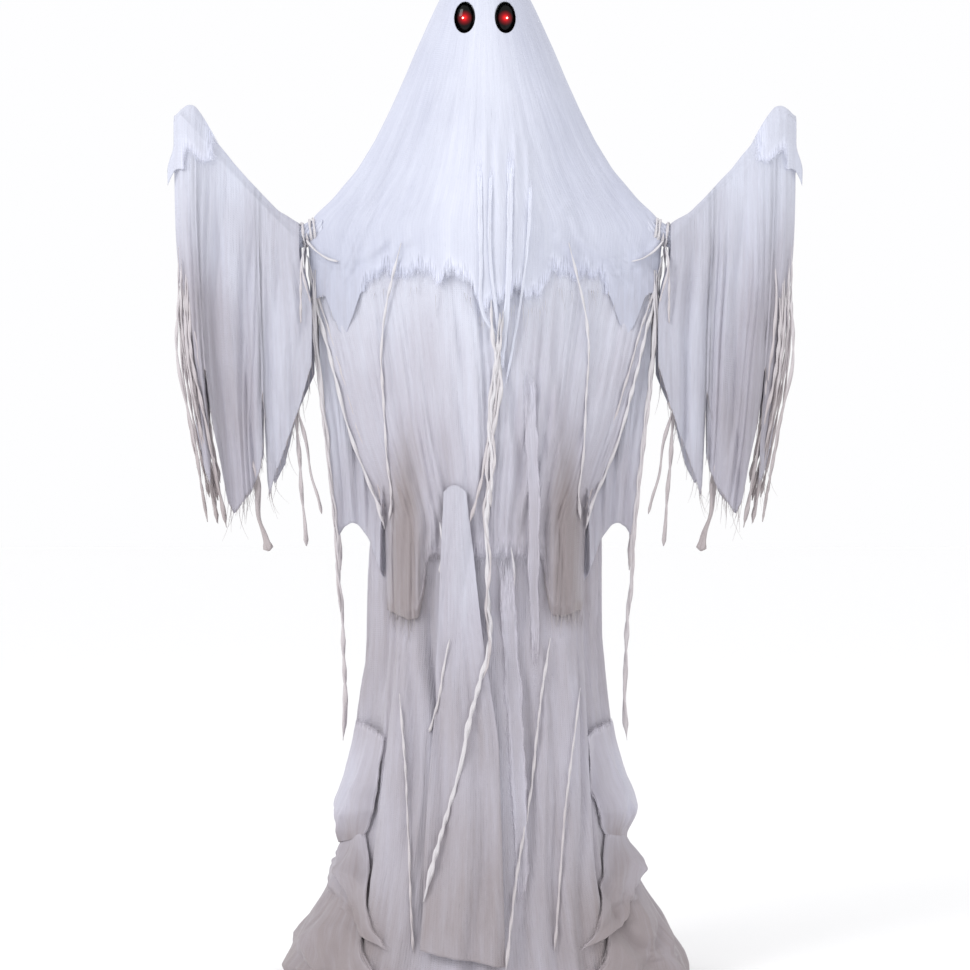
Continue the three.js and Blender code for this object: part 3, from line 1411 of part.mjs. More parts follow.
function forearm(side, word) {
  const arm = new THREE.Group();
  arm.position.set(side * elbowX, 0, elbowZ);
  arm.rotation.order = 'ZYX';
  arm.rotation.set(0, -forearmTilt, side > 0 ? 0 : Math.PI);
  arm.add(part(`elbow_tongue_${word}`, elbowTongue(), greyPlastic()));
  arm.add(part(`forearm_tube_${word}`, forearmTube(), aluminium()));
  arm.add(part(`hand_form_${word}`, handForm(), headPlastic()));
  return arm;
}

function cloth() {
  const group = new THREE.Group();
  const robeGeometry = robe();
  const robeBody = probeBody(robeGeometry);
  const drape = sideDrape(robeBody);
  const overArm = sleeve();
  const panel = frontPanel(robeBody);
  group.add(part('robe', robeGeometry, greyGauze()));
  group.add(part('shroud', shroud(), paleGauze()));
  group.add(part('side_drape_right', drape, paleGauze()));
  group.add(part('side_drape_left', mirrored(drape), paleGauze()));
  group.add(part('sleeve_right', overArm, paleGauze()));
  group.add(part('sleeve_left', mirrored(overArm), paleGauze()));
  group.add(part('side_bunch_left', sideBunch(-1), greyGauze()));
  group.add(part('side_bunch_right', sideBunch(1), greyGauze()));
  group.add(part('front_panel', panel, paleGauze()));
  const rope = laidStrand(ropeRoute, [robeBody, probeBody(panel)]);
  group.add(part('centre_rope', rope, brownGauze()));
  return group;
}

const ghost = new THREE.Group();
ghost.add(stand(), figure(), cloth());

export default ghost;
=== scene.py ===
"""Looks of a life-size rising ghost figure: torn gauze hung over a telescoping stand.

Metres, +Z up, the front faces -Y. "Left" and "right" are the viewer's, so right is +X. Every cloth
is a surface worked out on a grid from a few real sizes, and the cloths lie on each other in order:
robe, side drapes, upper layers, front panel, strands, and the shroud over them all.
"""

import itertools
import logging
import math
from dataclasses import dataclass
from enum import Enum
from typing import Optional, Sequence, Union

import bpy
import numpy as np
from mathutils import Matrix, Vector


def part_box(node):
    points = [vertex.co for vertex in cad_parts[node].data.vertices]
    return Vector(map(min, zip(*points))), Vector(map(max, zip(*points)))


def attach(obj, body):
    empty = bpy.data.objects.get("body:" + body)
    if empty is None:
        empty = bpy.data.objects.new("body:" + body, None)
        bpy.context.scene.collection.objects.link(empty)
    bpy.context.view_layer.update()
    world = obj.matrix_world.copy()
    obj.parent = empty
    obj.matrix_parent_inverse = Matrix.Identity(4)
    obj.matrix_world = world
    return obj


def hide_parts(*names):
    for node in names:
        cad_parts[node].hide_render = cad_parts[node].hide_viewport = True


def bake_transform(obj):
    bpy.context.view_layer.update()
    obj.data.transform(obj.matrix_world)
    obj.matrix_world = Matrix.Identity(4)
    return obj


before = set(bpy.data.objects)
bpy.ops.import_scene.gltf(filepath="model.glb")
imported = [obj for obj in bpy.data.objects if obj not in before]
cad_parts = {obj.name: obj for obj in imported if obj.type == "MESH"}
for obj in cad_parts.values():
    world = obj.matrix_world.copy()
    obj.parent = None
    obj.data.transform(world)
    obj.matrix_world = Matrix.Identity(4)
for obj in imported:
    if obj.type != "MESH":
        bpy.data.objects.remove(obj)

LOG = logging.getLogger("ghost_figure")
Array = np.ndarray
Object = bpy.types.Object
Socket = bpy.types.NodeSocket
Tree = bpy.types.NodeTree
TAU = 2 * math.pi


class Side(Enum):
    """Which side of the figure a piece is on, as the sign of its x."""

    LEFT = -1
    RIGHT = 1

    @property
    def word(self) -> str:
        """The side's name as the pieces' names have it."""
        return self.name.lower()


class Face(Enum):
    """Front or rear of the figure, as the sign of y."""

    FRONT = -1
    REAR = 1


# Curves and noise


def smoothstep(value: Array, start: float, end: float) -> Array:
    """Rises from 0 at start to 1 at end, level at both: 3t^2 - 2t^3 of the share t."""
    share = np.clip((np.asarray(value, float) - start) / (end - start), 0, 1)
    return share * share * (3 - 2 * share)


def mix(first: Array, second: Array, share: Array) -> Array:
    """A straight blend from first to second."""
    return first + (second - first) * share


def bell(value: Array, middle: float, width: float) -> Array:
    """A bell curve: 1 at the middle, and down to a third one width from it."""
    return np.exp(-(((value - middle) / width) ** 2))


def unit(vectors: Array) -> Array:
    """Vectors of length 1 along the last axis."""
    return vectors / np.linalg.norm(vectors, axis=-1, keepdims=True)


def lattice(rows: int, columns: int, low: float = -1.0, high: float = 1.0) -> tuple[Array, Array]:
    """A sheet's grid: its place across, from low to high, and its share down, from 0 to 1."""
    across, share = np.meshgrid(np.linspace(low, high, columns), np.linspace(0, 1, rows))
    return across, share


def table_curve(table: Sequence[Sequence[float]], at: Array, column: int = 1, blur: float = 0.0) -> Array:
    """Reads a column of a short table of sizes as a curve.

    The table is joined by straight lines and, where blur is given, averaged over that distance
    with a bell curve, so that its corners become round.

    Args:
        table: rows sorted by their first number.
        at: where to read it.
        column: which number of a row is read.
        blur: the bell curve's half width, in the table's own units.

    Returns:
        The values, in the shape of at.
    """
    rows = np.array(table, float)
    if blur <= 0:
        return np.interp(at, rows[:, 0], rows[:, column])
    offsets = np.linspace(-2, 2, 9)
    weights = np.exp(-offsets**2)
    spread = np.asarray(at, float)[..., None] + offsets * blur
    read = np.interp(spread, rows[:, 0], rows[:, column])
    return (read * weights).sum(-1) / weights.sum()


class GradientNoise:
    """Smooth noise from random slopes on a cube lattice (Perlin's), from about -1 to 1."""

    def __init__(self, seed: int) -> None:
        """Draws the lattice's order and slopes from a seed.

        Args:
            seed: of the random draws.
        """
        draw = np.random.default_rng(seed)
        self.order = draw.permutation(256)
        self.slopes = unit(draw.normal(size=(256, 3)))

    def __call__(self, x: Array, y: Array, z: Array) -> Array:
        """The noise at points, whose lattice cells are 1 wide.

        Each corner's slope gives a height at the point, and the eight heights are blended by the
        easing curve 6t^5 - 15t^4 + 10t^3.

        Args:
            x, y, z: the points' coordinates.

        Returns:
            The noise.
        """
        point = np.stack(np.broadcast_arrays(x, y, z), -1).astype(float)
        cell = np.floor(point).astype(int)
        part = point - cell
        ease = part**3 * (part * (part * 6 - 15) + 10)
        total = np.zeros(point.shape[:-1])
        for corner in itertools.product((0, 1), repeat=3):
            at = (cell + corner) & 255
            index = self.order[at[..., 0]]
            index = self.order[(index + at[..., 1]) & 255]
            index = self.order[(index + at[..., 2]) & 255]
            height = ((part - corner) * self.slopes[index]).sum(-1)
            total += height * np.where(corner, ease, 1 - ease).prod(-1)
        return total * 1.7


NOISE = GradientNoise(7)


def pleats(across: Array, down: Array, width: float, wander: float = 1.2, seed: float = 0.0) -> Array:
    """Uneven folds that run down a cloth, from -1 to 1.

    A cosine across the cloth, one wave per width, whose phase wanders with a slow noise and whose
    depth comes and goes with another.

    Args:
        across: distance across the cloth, in metres.
        down: distance down the cloth, in metres.
        width: from one fold to the next, in metres.
        wander: how far a fold strays from its place, as a share of a turn of the wave.
        seed: moves the noise, so that two cloths differ.

    Returns:
        The folds.
    """
    cell = 2.6 * width
    drift = NOISE(across / cell + seed, down / 0.42 + 3.1 * seed, 0.37 * seed)
    depth = 0.62 + 0.55 * NOISE(across / (1.7 * width) - seed, down / 0.5 + seed, 5.3 + seed)
    return rounded(TAU * (across / width + wander * drift)) * np.clip(depth, 0.12, 1.1)


def fold_sum(folds: Sequence[Sequence[float]], across: Array, down: Array, seed: float = 0.0) -> Array:
    """Several sets of pleats over each other, each given as (depth, width, wander, seed)."""
    return sum(depth * pleats(across, down, width, wander, own + seed) for depth, width, wander, own in folds)


def rounded(phase: Array) -> Array:
    """A wave with round ridges and narrow valleys, as hanging cloth has: 2 |cos(half)| - 1."""
    return 2 * np.sqrt(np.cos(phase / 2) ** 2 + 0.015) - 1


def facets(x: Array, y: Array, seed: float) -> Array:
    """Flat facets that meet in crisp diagonals, from 0 to 1: the least of three warped triangle waves.

    Args:
        x, y: places on the cloth.
        seed: moves the facets.

    Returns:
        The heights.
    """
    bend = 0.5 * NOISE(0.9 * x, 0.9 * y, seed)
    phases = (0.9 * x + 0.5 * y + bend, 0.7 * x - 0.8 * y - bend, 0.2 * x + 1.1 * y + 0.6 * bend)
    waves = [np.abs(2 * np.mod(phase + seed * (k + 0.37), 1) - 1) for k, phase in enumerate(phases)]
    return 1.6 * np.minimum.reduce(waves)


def crumple(points: Array, size: float, seed: float = 0.0) -> Array:
    """Small creases of handled cloth, from -1 to 1: noise of one size with its zero line sharpened.

    Args:
        points: places in space.
        size: a crease's.
        seed: moves the noise.

    Returns:
        The heights.
    """
    x, y, z = (points[..., k] / size + seed for k in range(3))
    rough = NOISE(x, y, z)
    fine = NOISE(2.1 * x, 2.1 * y, 2.1 * z)
    return 0.75 * (1 - 2 * np.abs(rough) ** 0.7) + 0.25 * fine


def crease(x: Array, z: Array, route: Sequence[Sequence[float]], width: float) -> Array:
    """A ridge along a route: 1 on it, falling as a bell curve of the distance from it.

    Args:
        x, z: points in the front view.
        route: the ridge's points [x, z].
        width: the distance at which the ridge has fallen to a third.

    Returns:
        The ridge's share of its height at each point.
    """
    line = np.array(route, float)
    start, step = line[:-1], np.diff(line, axis=0)
    offset_x = x[..., None] - start[:, 0]
    offset_z = z[..., None] - start[:, 1]
    share = (offset_x * step[:, 0] + offset_z * step[:, 1]) / (step**2).sum(-1)
    share = np.clip(share, 0, 1)
    gap = np.hypot(offset_x - share * step[:, 0], offset_z - share * step[:, 1]).min(-1)
    return bell(gap, 0.0, width)


def smooth_route(points: Sequence[Sequence[float]], spacing: float) -> Array:
    """A smooth curve through a few points, as points one spacing apart.

    Between two points it is the cubic whose slopes at them are those of the chords past them.

    Args:
        points: the few points.
        spacing: between the curve's points.

    Returns:
        An array of points, of shape (count, 3).
    """
    knots = np.array(points, float)
    length = np.concatenate([[0], np.cumsum(np.linalg.norm(np.diff(knots, axis=0), axis=1))])
    count = max(int(round(length[-1] / spacing)), 4)
    at = np.linspace(0, length[-1], count + 1)
    slope = np.gradient(knots, length, axis=0)
    index = np.clip(np.searchsorted(length, at, side="right") - 1, 0, len(knots) - 2)
    span = (length[index + 1] - length[index])[:, None]
    t = (at[:, None] - length[index][:, None]) / span
    return (
        (2 * t**3 - 3 * t**2 + 1) * knots[index]
        + (t**3 - 2 * t**2 + t) * span * slope[index]
        + (3 * t**2 - 2 * t**3) * knots[index + 1]
        + (t**3 - t**2) * span * slope[index + 1]
    )


# Meshes


def add_object(name: str, data: bpy.types.ID) -> Object:
    """Puts a mesh, lamp or camera in the scene.

    Args:
        name: its name.
        data: its mesh, lamp or camera.

    Returns:
        The object.
    """
    obj = bpy.data.objects.new(name, data)
    bpy.context.scene.collection.objects.link(obj)
    return obj


class MeshBuilder:
    """Gathers grids of points into one mesh, with the three attributes that the cloth finishes read.

    "cloth" holds each point's place on the flat cloth, across and down, in metres, "grime" how
    stained it is, with painted shade on some cloths, and "sheer" how far its weave has frayed open,
    both from 0 to 1; a half frayed weave also gets a painted glow.
    """

    def __init__(self) -> None:
        """Starts with nothing."""
        self.points: list[Array] = []
        self.cloth: list[Array] = []
        self.grime_and_shade: list[Array] = []
        self.sheer: list[Array] = []
        self.faces: list[Array] = []
        self.count = 0

    def add_grid(
        self,
        points: Array,
        grime_and_shade: Array,
        outward: Array,
        around: bool = False,
        capped: bool = False,
        pole: Optional[Sequence[float]] = None,
        keep: Optional[Array] = None,
        sheer: Array = 0.0,
    ) -> "MeshBuilder":
        """Adds a grid of quads that face outward.

        Args:
            points: shape (rows, columns, 3), row by row down the cloth.
            grime_and_shade: shape (rows, columns), or one number.
            outward: a direction that the faces look along on the whole, per point or one for all.
            around: whether each row closes on itself.
            capped: whether the first and last rows, which close, get a middle point and a fan.
            pole: a point that closes the first row with a fan.
            keep: which quads stay, shape (rows - 1, columns or columns - 1).
            sheer: how frayed it is, shape (rows, columns), or one number.

        Returns:
            The builder itself.
        """
        rows, columns = points.shape[:2]
        index = np.arange(rows * columns).reshape(rows, columns)
        right = np.roll(index, -1, 1) if around else index[:, 1:]
        left = index if around else index[:, :-1]
        quads = np.stack([left[:-1], left[1:], right[1:], right[:-1]], -1)
        if keep is not None:
            quads = quads[keep]
        quads = quads.reshape(-1, 4)
        flat = points.reshape(-1, 3)
        facing = np.broadcast_to(outward, points.shape).reshape(-1, 3)
        normals = np.cross(flat[quads[:, 2]] - flat[quads[:, 0]], flat[quads[:, 3]] - flat[quads[:, 1]])
        turned = (normals * facing[quads[:, 0]]).sum() < 0
        quads = quads[:, ::-1] if turned else quads
        self.faces.append(quads + self.count)
        across = np.linalg.norm(np.diff(points, axis=1, prepend=points[:, :1]), axis=-1).cumsum(1)
        down = np.linalg.norm(np.diff(points, axis=0, prepend=points[:1]), axis=-1).cumsum(0)
        across = np.broadcast_to(across.mean(0), (rows, columns))
        down = np.broadcast_to(down.mean(1)[:, None], (rows, columns))
        self.points.append(flat)
        self.cloth.append(np.stack([across, down, np.zeros_like(across)], -1).reshape(-1, 3))
        self.grime_and_shade.append(np.broadcast_to(grime_and_shade, (rows, columns)).reshape(-1))
        self.sheer.append(np.broadcast_to(sheer, (rows, columns)).reshape(-1))
        top, bottom = index[0] + self.count, index[-1] + self.count
        self.count += rows * columns
        if pole is not None:
            self._add_fan(top, np.array(pole, float), turned)
        if capped:
            self._add_fan(top, points[0].mean(0), turned)
            self._add_fan(bottom, points[-1].mean(0), not turned)
        return self

    def _add_fan(self, ring: Array, middle: Array, backwards: bool) -> None:
        """Closes a ring of points with triangles to a middle point.

        Args:
            ring: the points' numbers.
            middle: the point.
            backwards: whether the fan is turned.
        """
        pair = (np.roll(ring, -1), ring) if backwards else (ring, np.roll(ring, -1))
        self.faces.append(np.stack([*pair, np.full(len(ring), self.count)], -1))
        self.points.append(middle[None])
        self.cloth.append(np.zeros((1, 3)))
        self.grime_and_shade.append(self.grime_and_shade[-1][:1])
        self.sheer.append(self.sheer[-1][:1])
        self.count += 1

    def build(self, name: str) -> Object:
        """Makes the mesh object of that name, smooth shaded, at the origin.

        Args:
            name: the object's and its mesh's.

        Returns:
            The object.
        """
        mesh = bpy.data.meshes.new(name)
        faces = [face for block in self.faces for face in block.tolist()]
        mesh.from_pydata(np.concatenate(self.points), [], faces)
        mesh.attributes.new("cloth", "FLOAT_VECTOR", "POINT")
        mesh.attributes["cloth"].data.foreach_set("vector", np.concatenate(self.cloth).ravel())
        for word, values in (("grime_and_shade", self.grime_and_shade), ("sheer", self.sheer)):
            mesh.attributes.new(word, "FLOAT", "POINT")
            mesh.attributes[word].data.foreach_set("value", np.clip(np.concatenate(values), 0, 1))
        mesh.polygons.foreach_set("use_smooth", np.ones(len(mesh.polygons), bool))
        mesh.validate()
        mesh.update()
        return add_object(name, mesh)


def tube_rings(path: Array, radius: Array, sides: int, twist: Array, lobes: int, lobe: float) -> Array:
    """Rings of a twisted strand along a path.

    Round each point of the path, the radius is r(1 + lobe cos(lobes (angle - twist))), so that the
    lobes wind round the strand as the twist grows.

    Args:
        path: the strand's middle line, shape (count, 3).
        radius: its radius at each point.
        sides: points round a ring.
        twist: the lobes' turn at each point, in radians.
        lobes: how many lobes a ring has.
        lobe: how far a lobe stands out, as a share of the radius.

    Returns:
        An array of shape (count, sides, 3).
    """
    along = unit(np.gradient(path, axis=0))
    aside = unit(np.cross(along, (0.0, 1.0, 0.0)))
    ahead = np.cross(aside, along)
    angle = np.arange(sides) * TAU / sides
    reach = radius[:, None] * (1 + lobe * np.cos(lobes * (angle - twist[:, None])))
    return (
        path[:, None]
        + aside[:, None] * (reach * np.cos(angle))[..., None]
        + ahead[:, None] * (reach * np.sin(angle))[..., None]
    )


# Materials


def linear(code: str) -> tuple[float, float, float, float]:
    """An sRGB hex colour as the linear colour that a shader takes.

    Args:
        code: a colour as #RRGGBB.

    Returns:
        Linear red, green, blue and alpha.
    """
    values = [int(code[k : k + 2], 16) / 255 for k in (1, 3, 5)]
    parts = [v / 12.92 if v <= 0.04045 else ((v + 0.055) / 1.055) ** 2.4 for v in values]
    return (*parts, 1.0)


def feed(node: bpy.types.Node, inputs: dict) -> None:
    """Sets a node's sockets to their values, and links those whose value is another node's socket."""
    for name, value in inputs.items():
        if isinstance(value, Socket):
            node.id_data.links.new(value, node.inputs[name])
        else:
            node.inputs[name].default_value = value


def add_node(
    tree: Tree, kind: str, inputs: Optional[dict] = None, output: Union[int, str] = 0, **settings
) -> Socket:
    """Adds a node with its settings and links.

    Args:
        tree: the material's node tree.
        kind: the node's type name without "ShaderNode".
        inputs: socket name or number to a value, or to the output socket that feeds it.
        output: name or number of the output that is wanted.
        **settings: the node's own properties.

    Returns:
        That output.
    """
    node = tree.nodes.new("ShaderNode" + kind)
    for name, value in settings.items():
        setattr(node, name, value)
    feed(node, inputs or {})
    return node.outputs[output]


def maths(tree: Tree, operation: str, *values) -> Socket:
    """An operation on numbers and sockets."""
    return add_node(tree, "Math", dict(enumerate(values)), operation=operation)


def noise(tree: Tree, vector: Socket, width: float, detail: float, **more) -> Socket:
    """Noise whose lumps are that wide, in the vector's unit."""
    return add_node(tree, "TexNoise", {"Vector": vector, "Scale": 1 / width, "Detail": detail, **more})


def drawn_noise(tree: Tree, cloth: Socket, width: float, stretch: float, detail: float, **more) -> Socket:
    """Noise drawn out along the warp: its lumps are that wide, and longer by the stretch."""
    drawn = add_node(tree, "Mapping", {"Vector": cloth, "Scale": (1 / width, 1 / (stretch * width), 1)})
    return noise(tree, drawn, 1.0, detail, **more)


def spread(
    tree: Tree, value: Socket, low: float, high: float, start: float = 0.0, end: float = 1.0
) -> Socket:
    """A value between start and end as one between low and high."""
    ends = {"From Min": start, "From Max": end, "To Min": low, "To Max": high}
    return add_node(tree, "MapRange", {"Value": value, **ends})


def bump(tree: Tree, height: Socket, depth: float, strength: float) -> Socket:
    """The normal of a relief that is that deep, in metres."""
    return add_node(tree, "Bump", {"Height": height, "Distance": depth, "Strength": strength})


def ramp(tree: Tree, factor: Socket, stops: Sequence[tuple]) -> Socket:
    """A colour ramp with the given stops (place, hex code or linear colour).

    Args:
        tree: the material's node tree.
        factor: what is looked up.
        stops: each a place and a colour.

    Returns:
        The colour's socket.
    """
    colour = add_node(tree, "ValToRGB", {"Fac": factor})
    elements = colour.node.color_ramp.elements
    while len(elements) < len(stops):
        elements.new(0.5)
    for element, (place, stop) in zip(elements, stops):
        element.position = place
        element.color = linear(stop) if isinstance(stop, str) else stop
    return colour


def object_place(tree: Tree) -> Socket:
    """The place on the object, in metres."""
    return add_node(tree, "TexCoord", output="Object")


class Finish:
    """A finish that makes its material once and hands out the same one after that."""

    name: str

    def material(self) -> bpy.types.Material:
        """The finish's material."""
        found = bpy.data.materials.get(self.name)
        if found is None:
            found = bpy.data.materials.new(self.name)
            found.use_nodes = True
            feed(found.node_tree.nodes["Principled BSDF"], self.sockets(found.node_tree))
        return found

    def sockets(self, tree: Tree) -> dict:
        """The shader's sockets: each one's value, or the socket that feeds it."""
        raise NotImplementedError

    def dress(self, obj: Object) -> None:
        """Puts the material on an object in place of what it has."""
        obj.data.materials.clear()
        obj.data.materials.append(self.material())


@dataclass(frozen=True)
class Gauze(Finish):
    """Cotton cheesecloth, loosely woven, put in a dye bath and hung up wet.

    The dye ran down and settled in the lower ends, so the colour goes from a cold white to grey and
    a brown like weak tea, in streaks along the warp.
    """

    name: str
    slot: str = "pale_gauze"  # in the record
    pale: str = "#D3D6E3"
    middle: str = "#B6B3BE"
    stained: str = "#948B8D"
    thread: float = 0.0042  # the real threads are 1 mm apart, too fine to show, so four are drawn as one
    streak: float = 0.011  # width of a streak of dye
    blotch: float = 0.16  # width of a blotch of dye
    crinkle: float = 0.007  # width of the wrinkles that drying leaves along the warp
    crinkle_depth: float = 0.0032
    fibre: float = 0.002  # width of a tuft of threads where the weave frays
    opacity: float = 1.0
    relief: float = 0.7  # strength of the wrinkles
    painted_glow: float = 0.34  # painted glow where the weave is half frayed, so that it and what lies behind it don't look dark

    def sockets(self, tree: Tree) -> dict:
        """Stains and painted shade by the grime attribute with streaks and blotches, a woven, creased bump,
        and a painted glow where the weave is half frayed.

        Args:
            tree: the material's node tree.

        Returns:
            The Principled shader's inputs by name.
        """
        cloth = add_node(tree, "Attribute", output="Vector", attribute_name="cloth")
        grime_and_shade, sheer = (
            add_node(tree, "Attribute", output="Fac", attribute_name=word) for word in ("grime_and_shade", "sheer")
        )
        streaks = drawn_noise(tree, cloth, self.streak, 14, 4.0, Roughness=0.6)
        total = maths(tree, "MULTIPLY_ADD", streaks, 0.42, grime_and_shade)
        total = maths(tree, "MULTIPLY_ADD", noise(tree, object_place(tree), self.blotch, 3.0), 0.3, total)
        # The ramp's colour also carries the painted shade that some cloths hold in the grime attribute
        stops = [(0.0, self.pale), (0.48, self.middle), (1.0, self.stained)]
        stain_and_shade_colour = ramp(tree, maths(tree, "SUBTRACT", total, 0.36), stops)
        parts = add_node(tree, "SeparateXYZ", {"Vector": cloth}).node.outputs
        phases = [maths(tree, "MULTIPLY", parts[axis], TAU / self.thread) for axis in "XY"]
        weave = maths(tree, "MAXIMUM", *(maths(tree, "SINE", phase) for phase in phases))
        shade = spread(tree, weave, 0.96, 1.0, start=-1.0)
        mixed = {"Fac": 1.0, "Color1": stain_and_shade_colour, "Color2": shade}
        colour = add_node(tree, "MixRGB", mixed, blend_type="MULTIPLY")
        # Threads go one by one as the weave frays: those whose noise is the lowest go first
        left = maths(tree, "MULTIPLY_ADD", sheer, -1.0, drawn_noise(tree, cloth, self.fibre, 16, 3.0))
        crinkles = drawn_noise(tree, cloth, self.crinkle, 9, 4.0, Distortion=0.6)
        height = maths(tree, "MULTIPLY_ADD", weave, 0.10, crinkles)
        painted_glow_peak = (self.painted_glow, self.painted_glow, self.painted_glow, 1.0)
        return {
            "Base Color": colour,
            "Roughness": 0.92,
            "Specular IOR Level": 0.2,
            "Sheen Weight": 0.18,
            "Sheen Roughness": 0.5,
            "Alpha": spread(tree, left, 0.0, self.opacity, -0.25, 0.35),
            # Painted glow: where the weave is half frayed it gives off light in its own colour, so that it
            # and what lies behind it don't look dark
            "Emission Color": colour,
            "Emission Strength": ramp(tree, sheer, [(0.0, "#000000"), (0.5, painted_glow_peak), (1.0, "#000000")]),
            "Normal": bump(tree, height, self.crinkle_depth, self.relief),
        }


@dataclass(frozen=True)
class Moulded(Finish):
    """A plastic, rubber or paint with the fine grain that its mould or oven gave it."""

    name: str
    colour: str
    roughness: float = 0.5
    grain: float = 0.0012  # width of a grain
    depth: float = 0.0001
    wear: float = 0.12  # how much lighter and duller handled patches are
    patch: float = 0.04  # width of such a patch
    ior: float = 1.5

    def sockets(self, tree: Tree) -> dict:
        """Grain in the bump, and patches of wear in colour and gloss.

        Args:
            tree: the material's node tree.

        Returns:
            The Principled shader's inputs by name.
        """
        place = object_place(tree)
        patches = noise(tree, place, self.patch, 5.0)
        base = linear(self.colour)
        worn = tuple(min(1.0, c * (1 + self.wear) + 0.02 * self.wear) for c in base[:3]) + (1.0,)
        rough = [min(1.0, self.roughness * (1 + change)) for change in (-self.wear, self.wear)]
        return {
            "Base Color": ramp(tree, patches, [(0.4, base), (0.7, worn)]),
            "Roughness": spread(tree, patches, *rough),
            "IOR": self.ior,
            "Normal": bump(tree, noise(tree, place, self.grain, 2.0), self.depth, 0.6),
        }


@dataclass(frozen=True)
class Metal(Finish):
    """A bare or plated metal with drawing marks along its length."""

    name: str
    colour: str
    dark: str
    roughness: float
    marks: tuple[float, float, float]  # marks per metre along X, Y and Z
    depth: float = 0.0001

    def sockets(self, tree: Tree) -> dict:
        """Long thin marks in colour, gloss and bump.

        Args:
            tree: the material's node tree.

        Returns:
            The Principled shader's inputs by name.
        """
        drawn = add_node(tree, "Mapping", {"Vector": object_place(tree), "Scale": self.marks})
        lines = noise(tree, drawn, 1.0, 3.0, Roughness=0.7)
        return {
            "Base Color": ramp(tree, lines, [(0.3, self.dark), (0.62, self.colour)]),
            "Metallic": 1.0,
            "Roughness": spread(tree, lines, self.roughness * 0.75, self.roughness * 1.3),
            "Normal": bump(tree, lines, self.depth, 0.4),
        }


@dataclass(frozen=True)
class LitLens(Finish):
    """Glossy black acrylic over a red light, which glows through it in a round halo."""

    name: str
    centre: tuple[float, float, float]
    halo: float = 0.017  # radius at which the glow has gone
    swirl: float = 0.006  # width of the swirl marks
    strength: float = 1.2

    def sockets(self, tree: Tree) -> dict:
        """A halo by distance from the light's nose, and swirl marks from wiping.

        Args:
            tree: the material's node tree.

        Returns:
            The Principled shader's inputs by name.
        """
        place = object_place(tree)
        gap = add_node(tree, "VectorMath", {0: place, 1: self.centre}, output="Value", operation="DISTANCE")
        near = maths(tree, "POWER", spread(tree, gap, 1.0, 0.0, end=self.halo), 1.7)
        marks = noise(tree, place, self.swirl, 4.0)
        glow = [(0.0, "#000000"), (0.35, "#8E0412"), (0.8, "#FF1E1E"), (1.0, "#FF6A5A")]
        return {
            "Base Color": ramp(tree, marks, [(0.3, "#040405"), (0.8, "#0B0808")]),
            "Roughness": spread(tree, marks, 0.03, 0.11),
            "IOR": 1.49,
            "Specular IOR Level": 0.12,
            "Coat Weight": 0.12,
            "Coat Roughness": 0.03,
            "Emission Color": ramp(tree, near, glow),
            "Emission Strength": self.strength,
        }


@dataclass(frozen=True)
class RedLed(Finish):
    """A clear red epoxy light, whitest in the middle of its nose."""

    name: str
    ripple: float = 0.0015  # width of the ripples of cast epoxy
    strength: float = 6.0

    def sockets(self, tree: Tree) -> dict:
        """White-red light with faint ripples.

        Args:
            tree: the material's node tree.

        Returns:
            The Principled shader's inputs by name.
        """
        ripples = noise(tree, object_place(tree), self.ripple, 2.0)
        return {
            "Base Color": linear("#C81410"),
            "Roughness": 0.15,
            "IOR": 1.54,
            "Emission Color": ramp(tree, ripples, [(0.2, "#FF5A50"), (0.8, "#FFE6E0")]),
            "Emission Strength": self.strength,
        }


@dataclass(frozen=True)
class SolderMask(Finish):
    """Green solder mask over copper tracks on a glass fibre board."""

    name: str
    pitch: float = 0.009  # from track to track
    depth: float = 0.0001

    def sockets(self, tree: Tree) -> dict:
        """Tracks as the straight cell walls of a square-cell pattern under the green.

        Args:
            tree: the material's node tree.

        Returns:
            The Principled shader's inputs by name.
        """
        pattern = {"Vector": object_place(tree), "Scale": 1 / self.pitch}
        cells = add_node(tree, "TexVoronoi", pattern, "Distance", distance="MANHATTAN", feature="F1")
        return {
            "Base Color": ramp(tree, cells, [(0.36, "#2E7A4C"), (0.44, "#175032")]),
            "Roughness": 0.32,
            "Normal": bump(tree, cells, self.depth, 0.5),
        }


# The cloths' finishes; a thin single layer lets some light through
SHROUD_GAUZE = Gauze("bleached_cheesecloth", pale="#D8DBE8", middle="#BFC2D2", relief=0.4)
ROBE_GAUZE = Gauze("dyed_cheesecloth", slot="robe_gauze")
BUNCH_GAUZE = Gauze("folded_dyed_cheesecloth", slot="robe_gauze", relief=0.25)
THIN_GAUZE = Gauze("thin_cheesecloth", pale="#D4D7E5", opacity=0.92)
STRAND_GAUZE = Gauze("twisted_cheesecloth", pale="#DAD8DC", middle="#C4BDC0", stained="#9C9190", streak=0.004)

